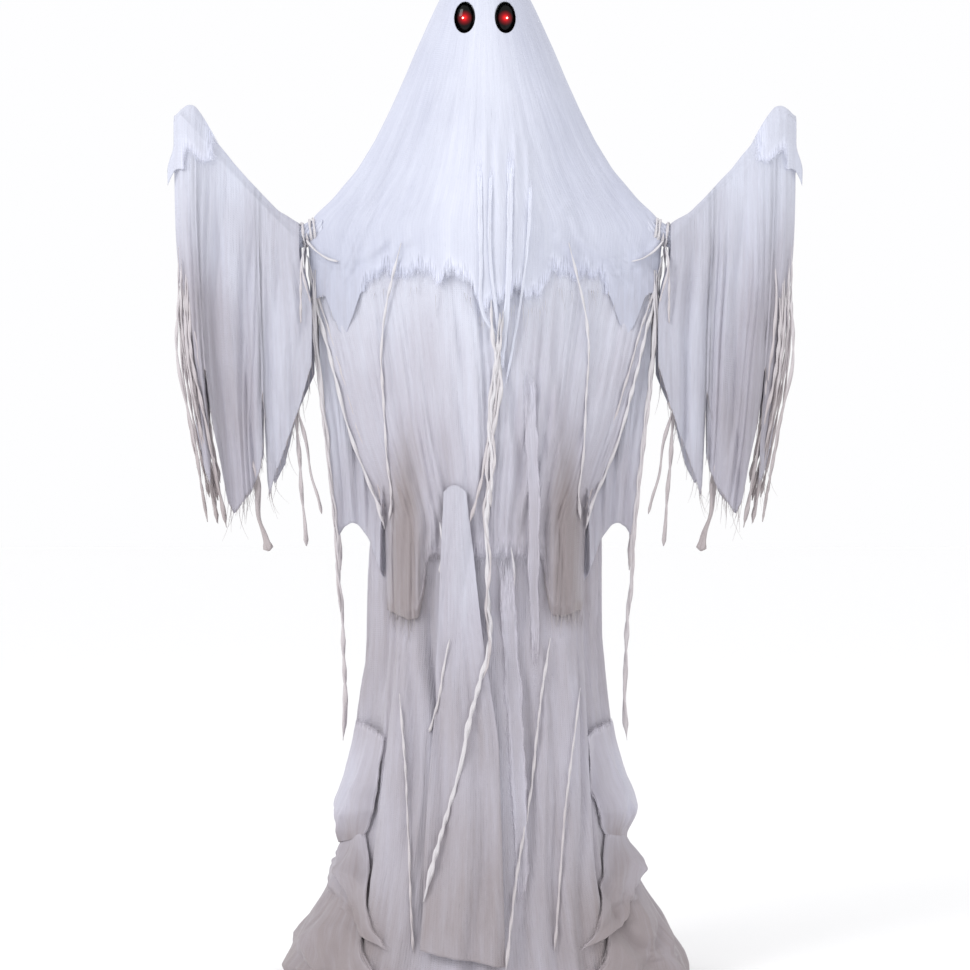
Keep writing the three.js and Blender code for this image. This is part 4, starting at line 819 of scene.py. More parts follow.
# The hard pieces' finishes, by the material slots of the record
HARD_FINISHES: dict[str, Finish] = {
    # Epoxy powder, sprayed and baked: black, half matt, with a fine orange peel
    "stand_steel": Moulded("black_powder_coat", "#26272A", 0.5, grain=0.0016, depth=0.00015),
    # Electroplated zinc on turned and pressed steel: cool grey with a faint cloud
    "zinc_steel": Metal("zinc_plated_steel", "#C3C7CC", "#9A9FA6", 0.32, marks=(260.0, 260.0, 90.0)),
    # Drawn aluminium tube: long die lines
    "arm_tube": Metal("drawn_aluminium", "#CDD0D4", "#AEB2B7", 0.36, marks=(30.0, 700.0, 30.0)),
    # Pressed rubber: dull, with talc left in its pores
    "foot_rubber": Moulded("pressed_rubber", "#171717", 0.86, grain=0.0009, depth=0.0002, wear=0.25),
    # Moulded nylon: waxy off-white
    "nylon": Moulded("moulded_nylon", "#E4E2DA", 0.42, grain=0.0006, depth=0.00005, wear=0.06, ior=1.53),
    # Injection-moulded ABS with a spark-eroded grain
    "black_abs": Moulded("black_abs", "#1B1C1E", 0.55, grain=0.0008, depth=0.00012, ior=1.54),
    "grey_abs": Moulded("grey_abs", "#55585C", 0.52, grain=0.0008, depth=0.00012, ior=1.54),
    # Blow-moulded polyethylene: soft sheen, slightly uneven wall
    "body_plastic": Moulded(
        "blow_moulded_polyethylene", "#CFD2D8", 0.58, grain=0.004, depth=0.0003, wear=0.05
    ),
    "led": RedLed("red_epoxy"),
    "board": SolderMask("solder_mask"),
}


# The camera, floor and lights


@dataclass
class Studio:
    """A pale floor under soft light, and a camera straight in front at the middle of the figure."""

    distance: float = 5.6
    middle: float = 1.004  # height of the picture's centre
    shown: float = 1.94  # height that the picture takes in at the cloth's front
    front: float = 0.1  # how far the cloth's front is before the origin
    sensor: float = 36.0
    floor_radius: float = 40.0

    def build(self) -> None:
        """Makes the camera, the floor, the sky and two soft lights."""
        scene = bpy.context.scene
        scene.view_settings.view_transform = "Standard"
        camera = bpy.data.cameras.new("camera")
        camera.sensor_width = self.sensor
        camera.lens = self.sensor * (self.distance - self.front) / self.shown
        holder = add_object("camera", camera)
        holder.location = (0, -self.distance, self.middle)
        holder.rotation_euler = (math.pi / 2, 0, 0)
        scene.camera = holder
        self._floor()
        self._sky()
        self._light("key", (-3.8, -3.4, 4.2), 2.0, 115)
        self._light("fill", (3.4, -3.8, 1.6), 3.4, 14)

    def _floor(self) -> None:
        """A wide pale disc."""
        mesh = bpy.data.meshes.new("floor")
        angle = np.arange(96) * TAU / 96
        ring = np.stack([np.cos(angle), np.sin(angle), np.zeros(96)], -1) * self.floor_radius
        mesh.from_pydata(ring, [], [list(range(96))])
        floor = add_object("floor", mesh)
        Moulded("studio_floor", "#FFFFFF", 0.8, grain=0.002, depth=0.00005, wear=0.0).dress(floor)

    def _sky(self) -> None:
        """An even white surround."""
        world = bpy.data.worlds.new("studio")
        bpy.context.scene.world = world
        world.use_nodes = True
        background = world.node_tree.nodes["Background"]
        background.inputs["Color"].default_value = linear("#FEFEFF")
        background.inputs["Strength"].default_value = 1.0

    def _light(self, name: str, place: Sequence[float], size: float, power: float) -> None:
        """A square lamp that looks at the figure's chest.

        Args:
            name: its name.
            place: where it stands.
            size: its side.
            power: in watts.
        """
        lamp = bpy.data.lights.new(name, "AREA")
        lamp.size = size
        lamp.energy = power
        holder = add_object(name, lamp)
        holder.location = place
        aim = Vector((0, 0, self.middle + 0.2)) - Vector(place)
        holder.rotation_euler = aim.to_track_quat("-Z", "Y").to_euler()


# Cloth


@dataclass
class RobeForm:
    """The robe's surface, on which the lower cloths lie.

    At a height it is an oval, squarer towards the hem, with folds that grow downwards and run all
    round. A point is given by its turn, 0 to 1 from +X by the rear to -X and the front, and its
    height.
    """

    top: float = 1.560
    hem: float = 0.012
    swing: float = 0.020  # of the main folds at the hem
    waves: tuple = ((8, 0.65), (6, 0.35))  # main folds round the robe, and their share of the swing
    wide: float = 0.0100  # depth of the wide fine folds
    thin: float = 0.0055  # depth of the thin ones
    square: float = 0.15  # how much squarer than an oval the hem is
    # [height, half width, half depth]
    stations: tuple = (
        (0.012, 0.318, 0.262), (0.100, 0.292, 0.240), (0.250, 0.262, 0.216), (0.400, 0.246, 0.188),
        (0.546, 0.237, 0.164), (0.700, 0.222, 0.146), (0.900, 0.221, 0.132), (1.200, 0.200, 0.120),
        (1.400, 0.174, 0.104), (1.560, 0.1533, 0.0873),
    )

    def depth(self, z: Array) -> Array:
        """How far down the robe a height is, from 0 to 1."""
        return np.clip((self.top - z) / (self.top - self.hem), 0, 1)

    def main_fold(self, turn: Array, z: Array) -> Array:
        """Waves round the robe, as deep as the swing allows at that height."""
        waves = sum(share * np.cos(count * TAU * turn) for count, share in self.waves)
        return self.reach(z) * waves

    def reach(self, z: Array) -> Array:
        """Depth of the main folds at a height."""
        return self.swing * self.depth(z) ** 0.7

    def half(self, z: Array, column: int = 1) -> Array:
        """Half width (column 1) or half depth (column 2) without folds."""
        return table_curve(self.stations, z, column, 0.03)

    def power(self, z: Array) -> Array:
        """Power of the oval's cosine and sine."""
        return 1 / (1 + self.square * self.depth(z))

    def fine_fold(self, turn: Array, z: Array) -> Array:
        """Uneven folds between the main ones, which wander as they fall.

        Args:
            turn: share of a turn.
            z: heights.

        Returns:
            The folds' heights.
        """
        angle = TAU * turn
        x, y = np.cos(angle), np.sin(angle)
        drift = NOISE(1.9 * x, 1.9 * y, z / 0.45)
        depth = 0.7 + 0.6 * NOISE(2.7 * x + 9, 2.7 * y, z / 0.5)
        wide = rounded(21 * angle + 6 * drift) * depth
        thin = rounded(47 * angle + 9 * drift) * NOISE(3.3 * x, 3.3 * y + 5, z / 0.3)
        return (self.wide * wide + self.thin * thin) * (0.30 + 0.70 * self.depth(z) ** 0.6)

    def point(
        self, turn: Array, z: Array, lift: Array = 0.0, bridge: Array = 0.0, fine: float = 1.0
    ) -> Array:
        """A point on the robe, or on a cloth that lies over it.

        Args:
            turn, z: where.
            lift: how far the point stands off the robe.
            bridge: share of the main folds' hollows that a stiffer cloth over them spans.
            fine: share of the fine folds that it follows.

        Returns:
            Points, of shape (..., 3).
        """
        turn, z = np.broadcast_arrays(np.asarray(turn, float), np.asarray(z, float))
        fold = mix(self.main_fold(turn, z), 0.8 * self.reach(z), bridge)
        half = np.stack([self.half(z, 1) + fold, self.half(z, 2) + fold], -1)
        way = np.stack([np.cos(TAU * turn), np.sin(TAU * turn)], -1)
        place = half * np.sign(way) * np.abs(way) ** self.power(z)[..., None]
        out = lift + fine * self.fine_fold(turn, z)
        return np.concatenate([place + unit(way / half) * out[..., None], z[..., None]], -1)

    def turn_at(self, x: Array, z: Array, face: Face = Face.FRONT) -> Array:
        """The turn at which the robe's front or rear has that x: the oval's formula solved for it.

        Args:
            x: distances from the middle.
            z: heights.
            face: front or rear.

        Returns:
            The shares of a turn.
        """
        x, z = np.broadcast_arrays(np.asarray(x, float), np.asarray(z, float))
        turn = np.zeros_like(x)
        for _ in range(3):
            reach = self.half(z) + self.main_fold(turn, z)
            share = np.clip(np.abs(x) / reach, 0, 1) ** (1 / self.power(z))
            turn = face.value * np.arccos(np.sign(x) * share) / TAU
        return turn

    def over(self, x: Array, z: Array, lift: Array, face: Face = Face.FRONT, bridge: float = 0.0) -> Array:
        """A point over the robe's front or rear, by its place in the front view."""
        return self.point(self.turn_at(x, z, face), z, lift, bridge)

    def height(self, x: Array, z: Array, lift: Array, face: Face = Face.FRONT, bridge: float = 0.0) -> Array:
        """How far before or behind y = 0 that point is."""
        return np.abs(self.over(x, z, lift, face, bridge)[..., 1])


ROBE = RobeForm()

# The dye's columns beside the middle: x, width, strength, and the heights at which it starts, is
# full, starts to fade and ends
STAIN_COLUMNS = ((0.160, 0.036, 0.52, 1.24, 0.95, 0.78, 0.70), (0.075, 0.018, 0.14, 1.25, 1.05, 0.95, 0.80))


def below(z: Array, top: float, bottom: float) -> Array:
    """Rises from 0 at the top height to 1 at the bottom one."""
    return smoothstep(-np.asarray(z), -top, -bottom)


def stain(x: Array, z: Array) -> Array:
    """How stained the cloth is at a place in the front view, with painted shade, from 0 to 1.

    It grows downwards, and towards the sides at the hem. Away from the front's middle it is darker
    as well: painted shade where the body turns from the light. The dye has run into two columns at
    each side of the front's middle, which end at the upper layer's hem.

    Args:
        x: distances from the middle.
        z: heights.

    Returns:
        The stains' strength, with the painted shade.
    """
    ax = np.abs(x)
    # Painted shade: 0.10 darker away from the front's middle, where the body turns from the light
    dye = 0.54 * below(z, 1.75, 0.75) + 0.16 * below(z, 0.5, 0.1) + 0.10 * smoothstep(ax, 0.03, 0.14) - 0.06
    dye = dye + 0.16 * below(z, 0.34, 0.08) * smoothstep(ax, 0.10, 0.24)
    for middle, width, strength, top, full, fading, end in STAIN_COLUMNS:
        dye = dye + strength * bell(ax, middle, width) * below(z, top, full) * (1 - below(z, fading, end))
    return dye + 0.10 * NOISE(x / 0.12, z / 0.25, 2.2)


def ragged(across: Array, amount: float, seed: float) -> Array:
    """A torn edge's rise and fall: broad scallops with small teeth, from 0 to the amount.

    Args:
        across: places along the edge.
        amount: the largest rise.
        seed: moves the noise.

    Returns:
        The rises.
    """
    broad = 0.5 + 0.5 * NOISE(across / 0.11 + seed, seed, 0.5)
    teeth = np.abs(NOISE(across / 0.018 + seed, 3.0 - seed, 0.5))
    return amount * (0.72 * broad + 0.28 * teeth)


SPACING = 0.006  # between a strand's rings


def lift_with_mast(*pieces: Object) -> None:
    """Bakes each piece's place into its mesh."""
    for piece in pieces:
        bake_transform(piece)


def finish_cloth(
    piece: Object, finish: Gauze, thickness: float = 0.0012, replaces: Sequence[str] = ()
) -> Object:
    """Gives a cloth its thickness inwards from its face and its finish, and hides the nodes it stands for.

    Args:
        piece: the cloth.
        finish: its finish, which also names its slot.
        thickness: of the sheet, or 0 for strands.
        replaces: the nodes it stands for.

    Returns:
        The piece.
    """
    if thickness:
        solid = piece.modifiers.new("thickness", "SOLIDIFY")
        solid.thickness, solid.offset, solid.use_rim = thickness, -1, True
    finish.dress(piece)
    if replaces:
        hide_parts(*replaces)
    LOG.info("%s: %d faces", piece.name, len(piece.data.polygons))
    return piece


def finish_strands(builder: MeshBuilder, name: str) -> Object:
    """Makes one piece of strands or threads, which are solid by themselves."""
    return finish_cloth(builder.build(name), STRAND_GAUZE, thickness=0.0)


@dataclass
class Strand:
    """A strip of gauze twisted into a strand."""

    route: Sequence[Sequence[float]]  # points of its middle line
    radius: float
    pitch: float  # length of one turn of the twist
    grime_and_shade: tuple[float, float]  # how stained it is at its top and bottom
    flare: float  # how much the loose end opens, as a share of the radius
    seed: float
    sides: int = 10
    lobe: float = 0.42  # how far its two lobes stand out, as a share of the radius

    def add_to(self, builder: MeshBuilder) -> None:
        """Adds the strand to a mesh: two lobes wind round it and its thickness comes and goes.

        Args:
            builder: the mesh.
        """
        path = smooth_route(self.route, SPACING)
        share = np.linspace(0, 1, len(path))
        length = np.linalg.norm(np.diff(path, axis=0), axis=1).sum()
        bends = share * length / 0.09 + self.seed
        wobble = np.stack([NOISE(bends, k + 0.5, self.seed) for k in range(3)], -1)
        path = path + wobble * (0.5 * self.radius) * np.sin(np.pi * share)[:, None] ** 0.5
        lump = 1 + 0.30 * NOISE(share * length / 0.06 + self.seed, 0.5, 1.5)
        ends = np.clip(share * 14, 0.35, 1) * np.clip((1 - share) * 30, 0.18, 1)
        open_end = 1 + self.flare * smoothstep(share, 0.88, 0.97)
        twist = TAU * share * length / self.pitch + 3.0 * NOISE(share * length / 0.2, self.seed, 4.5)
        rings = tube_rings(path, self.radius * lump * ends * open_end, self.sides, twist, 2, self.lobe)
        grime_and_shade = mix(*self.grime_and_shade, share)[:, None]
        builder.add_grid(rings, grime_and_shade, rings - path[:, None], around=True, capped=True)


def fringe(
    builder: MeshBuilder,
    hem: Array,
    count: int,
    length: float,
    grime_and_shade: float,
    seed: int,
    radius: float = 0.0007,
    tuck: float = 0.004,
    floor: float = 0.006,
) -> None:
    """Adds loose threads that hang from a torn hem.

    A thread is a three-sided tube whose middle line falls straight and sways with the square of
    the distance from the hem, and whose radius shrinks to its tip.

    Args:
        builder: the mesh that takes them.
        hem: the hem's points, shape (n, 3).
        count: how many threads.
        length: the longest one's length.
        grime_and_shade: how stained they are.
        seed: of the random draws.
        radius: a thread's radius at the hem.
        tuck: how far above the hem it starts.
        floor: height that no thread may reach.
    """
    draw = np.random.default_rng(seed)
    start = hem[draw.integers(0, len(hem), count)]
    reach = length * draw.uniform(0.25, 1.0, count) ** 1.6
    sway = draw.normal(0, 0.22, (count, 2)) * reach[:, None]
    share = np.linspace(0, 1, 5)
    thin = radius * (1 - 0.75 * share)
    angle = np.arange(3) * TAU / 3
    ring = np.stack([np.cos(angle), np.sin(angle), 0 * angle], -1)
    for root, fall, aside in zip(start, reach, sway):
        if root[2] - fall >= floor:
            height = root[2] + tuck - (fall + tuck) * share
            path = np.column_stack([root[:2] + aside * share[:, None] ** 2, height])
            rings = path[:, None] + ring * thin[:, None, None]
            builder.add_grid(rings, grime_and_shade, ring, around=True, capped=True)


@dataclass
class Robe:
    """The long robe, in a front and a rear half that meet under the side drapes."""

    grids: tuple = ((Face.FRONT, 200, 210), (Face.REAR, 150, 170))  # rows and columns of each half
    flat: tuple[float, float] = (0.72, 1.56)
    crumpled: float = 0.0011  # depth of its small creases
    rear_grime: float = 0.03  # how much more stained the rear is

    def build(self) -> None:
        """Makes both halves, with small creases and an uneven hem."""
        for face, rows, columns in self.grids:
            word = face.name.lower()
            turn, share = lattice(rows, columns, 0.0, 0.5)
            turn = face.value * turn
            hem = ROBE.hem + 0.004 + ragged(np.abs(turn) * 2.0, 0.02, 4.0 + face.value)
            z = mix(ROBE.top, hem, share)
            points = ROBE.point(turn, z)
            normal = unit(points * (1, 1, 0))
            edge = np.sin(np.pi * np.abs(turn) * 2) ** 0.3
            points = points + normal * (self.crumpled * crumple(points, 0.045, 1.0) * edge)[..., None]
            grime_and_shade = stain(points[..., 0], z) + self.rear_grime * (face is Face.REAR)
            mesh = MeshBuilder().add_grid(points, grime_and_shade, normal).build("robe_" + word)
            piece = finish_cloth(mesh, ROBE_GAUZE, replaces=["robe"])
            lift_with_mast(piece)


@dataclass
class UpperLayer:
    """A second layer over the robe, hung between the elbows and drawn in to the knees.

    It is widest at the elbows and its sides run in to the robe. Its hem is rolled at both sides of
    the middle, where the dye has settled.
    """

    face: Face
    top: float = 1.492
    columns: int = 190
    rows: int = 170
    lift: float = 0.0095
    half_widths: tuple = (
        (0.740, 0.196), (0.934, 0.203), (1.000, 0.232), (1.114, 0.276), (1.227, 0.305), (1.324, 0.330),
        (1.400, 0.350), (1.470, 0.362),
    )
    # Its lower edge: [distance from the middle, height], with a slit at each side of the middle
    hem_line: tuple = (
        (0.000, 0.790), (0.030, 0.770), (0.060, 0.800), (0.090, 0.860), (0.112, 0.860), (0.124, 0.790),
        (0.132, 0.752), (0.150, 0.748), (0.180, 0.756), (0.204, 0.764), (0.240, 0.770),
    )
    arm_stand_off: tuple = ((0.700, 0.030), (1.360, 0.030), (1.440, 0.0225), (1.500, 0.0225))
    bridge: float = 0.35  # share of the robe's hollows that it spans
    shroud_gap: float = 0.011  # between its own surface and the shroud's
    folds: tuple = ((0.0048, 0.052, 0.9, 1.7), (0.0026, 0.021, 1.6, 4.2))  # depth, width, wander, seed
    edge_heights: tuple = (1.470, 1.400, 1.324, 1.227, 1.114, 1.020, 0.955, 0.915)
    second_inset: tuple = (0.0, 0.006, 0.012, 0.016, 0.020, 0.018, 0.010, 0.002)  # of the thinner cord

    def half(self, z: Array) -> Array:
        """Half its width at a height."""
        return table_curve(self.half_widths, z, 1, 0.02)

    def height_over(self, x: Array, z: Array) -> Array:
        """How far before (or behind) y = 0 the layer lies.

        Over the robe it follows the robe. Beyond it, it runs straight to its own edge near the
        arm, and where both apply the farther one holds.

        Args:
            x: distances from the middle.
            z: heights.

        Returns:
            The distances.
        """
        half_robe = ROBE.half(z)
        start = 0.74 * half_robe
        on_robe, at_start = (
            ROBE.height(place, z, self.lift, self.face, self.bridge)
            for place in (np.clip(x, -half_robe, half_robe), start * np.sign(x + 1e-9))
        )
        share = np.clip((np.abs(x) - start) / np.maximum(self.half(z) - start, 0.02), 0, 1)
        straight = mix(at_start, table_curve(self.arm_stand_off, z), share)
        beyond = np.maximum(straight, on_robe * (np.abs(x) < half_robe))
        height = np.where(np.abs(x) > start, beyond, on_robe)
        under = SHROUD.cover(x, np.maximum(z, SHROUD.hem)) - self.shroud_gap
        return mix(height, np.minimum(height, under), smoothstep(z, 1.22, 1.36))

    def point(self, across: Array, z: Array) -> Array:
        """A point of the layer, across from -1 to 1, with its own folds.

        Args:
            across: places across the cloth, from -1 to 1.
            z: heights.

        Returns:
            The points.
        """
        x = across * self.half(z)
        y = self.height_over(x, z)
        fold = fold_sum(self.folds, across * 0.33 + 0.02 * self.face.value, z, self.face.value)
        settle = 0.25 + 0.75 * smoothstep(1.46 - z, 0.0, 0.14)
        return np.stack([x, self.face.value * (y + 0.004 + fold * settle), z], -1)

    def face_depth(self, x: Array, z: Array) -> tuple[Array, Array]:
        """The y of the layer's face, and how much of the layer there is at that place (0 or 1).

        Args:
            x: distances from the middle.
            z: heights.

        Returns:
            The y, and the share.
        """
        half = self.half(z)
        there = smoothstep(z - table_curve(self.hem_line, np.abs(x), 1, 0.006), -0.04, -0.01)
        there = there * (np.abs(x) < half) * (z < self.top)
        return self.point(np.clip(x / half, -1, 1), z)[..., 1], there

    def build(self) -> None:
        """Makes the layer, its two rolled side edges and the threads of its hem."""
        word = self.face.name.lower()
        across, share = lattice(self.rows, self.columns)
        hem = table_curve(self.hem_line, np.abs(across) * 0.2, 1, 0.006) - ragged(across * 0.2, 0.022, 6.0)
        z = mix(self.top, hem, share)
        points = self.point(across, z)
        x = np.abs(points[..., 0])
        # The hem's last fortieth rolls back under it, and its middle sinks and frays out
        rolled = 0.003 * bell(share, 0.972, 0.010) - 0.006 * smoothstep(share, 0.975, 1.0)
        points[..., 1] += self.face.value * rolled
        points[..., 1] += self.face.value * 0.0009 * crumple(points, 0.035, 3.0)
        points[..., 1] -= self.face.value * 0.009 * smoothstep(x, 0.138, 0.104) * smoothstep(z, 1.00, 0.86)
        middle = smoothstep(x, 0.134, 0.108) * smoothstep(z, 0.92, 0.82)
        sheer = np.maximum(middle, smoothstep(z + 0.3 * np.maximum(x - 0.30, 0), self.top - 0.02, self.top))
        grime_and_shade = stain(x, z) + 0.20 * smoothstep(share, 0.96, 0.995)
        mesh = MeshBuilder().add_grid(points, grime_and_shade, np.array((0.0, self.face.value, 0.0)), sheer=sheer)
        piece = finish_cloth(mesh.build("upper_layer_" + word), ROBE_GAUZE)
        edges = self._side_edges(word)
        threads = MeshBuilder()
        fringe(threads, points[-1][x[-1] > 0.13], 60, 0.05, 0.6, 41)
        loose = finish_strands(threads, f"upper_layer_{word}_threads")
        lift_with_mast(piece, edges, loose)

    def _side_edges(self, word: str) -> Object:
        """The torn sides, twisted into a bright cord from the elbow to the knee.

        Args:
            word: front or rear.

        Returns:
            The cords, as one piece.
        """
        builder = MeshBuilder()
        z = np.array(self.edge_heights)
        for side in Side:
            points = self.point(np.full_like(z, float(side.value)), z)
            points[:, 1] += self.face.value * 0.004
            Strand(points, 0.0030, 0.13, (0.0, 0.2), 0.3, side.value + 3.0).add_to(builder)
            points[:, 0] -= side.value * np.array(self.second_inset)
            points[:, 1] += self.face.value * 0.003
            Strand(points[:-1], 0.0020, 0.11, (0.1, 0.6), 0.2, side.value + 8.0).add_to(builder)
        return finish_strands(builder, f"upper_layer_{word}_edges")


@dataclass
class FrontPanel:
    """The lighter panel down the front, narrow and rounded at the top and wide at the hem."""

    top: float = 1.004
    crown: float = 0.014  # drop of its top corners
    # [height, x of its left edge, x of its right edge], from the hem up
    edges: tuple = (
        (0.075, -0.120, 0.038), (0.500, -0.096, 0.026), (0.700, -0.084, -0.004), (1.004, -0.076, -0.036),
    )
    hems: tuple[float, float] = (0.094, 0.066)  # heights of its left and right corner
    columns: int = 56
    rows: int = 190
    lifts: tuple[float, float] = (0.020, 0.010)  # off the robe, over the upper layer and below it
    folds: tuple = ((0.0030, 0.045, 0.8, 9.5),)  # depth, width, wander, seed

    def sides(self, z: Array) -> list[Array]:
        """The x of its left and right edge at a height."""
        return [table_curve(self.edges, z, column, 0.03) for column in (1, 2)]

    def point(self, across: Array, z: Array) -> Array:
        """A point of the panel, across from 0 to 1, over the upper layer and then the robe.

        Args:
            across: places across it, from 0 to 1.
            z: heights.

        Returns:
            The points.
        """
        x = mix(*self.sides(z), across)
        points = ROBE.over(x, z, mix(*self.lifts, 1 - smoothstep(z, 0.54, 0.66)), Face.FRONT, 0.55)
        belly = np.sin(np.pi * across) * smoothstep(self.top - z, 0.02, 0.5)
        points[..., 1] -= fold_sum(self.folds, x, z) + 0.003 * belly + 0.0026
        return points

    def build(self) -> None:
        """Makes the panel."""
        across, share = lattice(self.rows, self.columns, 0.0)
        top = self.top - self.crown * (2 * across - 1) ** 2
        hem = mix(*self.hems, across) + 0.006 * ragged(across * 0.16, 1.0, 2.0)
        z = mix(top, hem, share)
        points = self.point(across, z)
        points[..., 1] -= 0.0009 * crumple(points, 0.03, 5.0)
        grime_and_shade = 0.34 + 0.34 * below(z, 0.95, 0.42) + 0.20 * below(z, 0.42, 0.05)
        grime_and_shade = grime_and_shade + 0.08 * NOISE(points[..., 0] / 0.05, z / 0.3, 1.0)
        mesh = MeshBuilder().add_grid(points, grime_and_shade, np.array((0.0, -1.0, 0.0))).build("front_panel_cloth")
        piece = finish_cloth(mesh, ROBE_GAUZE, replaces=["front_panel"])
        lift_with_mast(piece)


@dataclass
class SideBunch:
    """Spare cloth gathered at one side of the base, in three tiers that tuck under each other."""

    side: Side
    columns: int = 150
    rows: int = 90
    # Each tier: [height, how far it stands out], from its top to its rolled lower edge
    tiers: tuple = (
        ((0.540, 0.000), (0.500, 0.003), (0.460, 0.009), (0.414, 0.019), (0.384, 0.029), (0.352, 0.035),
         (0.330, 0.030), (0.300, 0.010), (0.276, 0.003)),
        ((0.330, 0.001), (0.290, 0.004), (0.262, 0.012), (0.240, 0.017), (0.216, 0.019), (0.190, 0.016),
         (0.172, 0.008)),
        ((0.225, 0.008), (0.185, 0.022), (0.144, 0.038), (0.114, 0.048), (0.084, 0.059), (0.054, 0.067),
         (0.030, 0.071), (0.018, 0.066)),
    )
    spreads: tuple = ((0.104, 0.058), (0.052, 0.160), (0.080, 0.176))  # share of a turn, top and bottom
    drops: tuple = (-0.030, 0.085, 0.0)  # how much lower a tier's edge is at its ends
    # Each tier's folded ridges: (route [across, share], width, height)
    ridges: tuple = (
        (
            (((0.62, 0.00), (0.50, 0.55), (0.34, 1.00)), 0.05, 0.007),
            (((0.10, 0.00), (0.00, 0.60), (0.12, 1.00)), 0.07, 0.007),
        ),
        (
            (((0.10, 0.00), (0.45, 0.50), (0.80, 1.00)), 0.05, 0.012),
            (((0.72, 0.10), (0.40, 0.55), (0.10, 0.90)), 0.05, 0.009),
            (((0.95, 0.40), (0.60, 0.75), (0.30, 1.00)), 0.04, 0.007),
        ),
        (
            (((0.15, 0.00), (0.38, 0.50), (0.62, 1.00)), 0.05, 0.014),
            (((0.85, 0.10), (0.62, 0.55), (0.40, 1.00)), 0.05, 0.010),
            (((0.05, 0.20), (0.10, 0.60), (0.06, 1.00)), 0.07, 0.012),
            (((0.95, 0.45), (0.80, 0.75), (0.76, 1.00)), 0.04, 0.008),
        ),
    )
    facet_depths: tuple = ((0.014, 0.002), (0.030, 0.004), (0.036, 0.006))  # large and small ones, a tier
    grimes: tuple = ((0.36, 0.45), (0.74, 0.20), (0.90, 0.12))  # of a tier, and how much its edge adds
    flats: tuple = ((0.30, 0.26), (0.42, 0.22), (0.54, 0.26))  # flat size of each tier

    def point(self, across: Array, share: Array, tier: int) -> Array:
        """A point of a tier: across from -1 to 1 round the side, share from its top to its edge.

        The tier stands off the robe by its own outline, fades out towards the front and rear, and
        is folded along its ridges.

        Args:
            across: places across the tier, from -1 to 1.
            share: shares down it.
            tier: its number from the top.

        Returns:
            The points.
        """
        ax = np.abs(across)
        table = np.array(self.tiers[tier])
        knots = np.linspace(0, 1, len(table))
        z = np.interp(share, knots, table[:, 0]) - self.drops[tier] * ax**1.5 * share
        out = table_curve(np.column_stack([knots, table[:, 1]]), share, 1, 0.04)
        edge = 0.006 * NOISE(share * 4 + tier, np.sign(across), 0.7 * self.side.value)
        turn = across * (mix(*self.spreads[tier], share) + edge) + 0.5 * (self.side is Side.LEFT)
        seed = 1.3 * tier + 2.0 * self.side.value
        large, small = self.facet_depths[tier]
        fold = large * facets(1.2 * across, 0.9 * share, seed)
        fold = fold + small * facets(2.6 * across, 1.9 * share, 1.7 * seed)
        lean = np.where(across > 0, 0.0, 0.23)
        for route, width, height in self.ridges[tier]:
            fold = fold + height * crease(ax + lean * share, share, route, width)
        fold = fold * mix(0.15, 1.0, smoothstep(ax, 0.08, 0.35)) * smoothstep(share, 0.0, 0.5)
        points = ROBE.point(turn, z, 0.005 + 0.002 * tier, 0.6 * (1 - across**4), 0.6)
        normal = unit(ROBE.point(turn, z, 0.1, 0.6, 0.6) - ROBE.point(turn, z, 0.0, 0.6, 0.6))
        fade = np.cos(np.clip(ax, 0, 1) * np.pi / 2) ** 1.2
        points = points + normal * ((out + np.maximum(fold, -0.6 * out)) * fade)[..., None]
        points[..., 2] -= 0.030 * across**2 * (1 - share) * (1 if tier == 0 else 0.4)
        return points

    def build(self) -> None:
        """Makes the three tiers."""
        across, share = lattice(self.rows, self.columns)
        ax = np.abs(across)
        node = "side_bunch_" + self.side.word
        for tier, word in enumerate(("upper", "middle", "lower")):
            points = self.point(across, share, tier)
            normal = points * (1, 1, 0)
            points = points + normal * (0.003 * crumple(points, 0.05, 2.0 + tier))[..., None]
            points[..., 2] = np.maximum(points[..., 2], 0.014)
            own, more = self.grimes[tier]
            own = own + more * smoothstep(share, 0.6, 1.0) + 0.20 * smoothstep(ax, 0.3, 0.8)
            apart = smoothstep(share, 0.0, 0.4) * smoothstep(ax, 1.0, 0.5)
            grime_and_shade = mix(stain(points[..., 0], points[..., 2]), own, apart)
            sheer = np.maximum(smoothstep(ax, 0.88, 1.0), smoothstep(share, 0.10, 0.0))
            mesh = MeshBuilder().add_grid(points, grime_and_shade, normal, sheer=sheer).build(f"{node}_{word}")
            piece = finish_cloth(mesh, BUNCH_GAUZE, replaces=[node])
            lift_with_mast(piece)


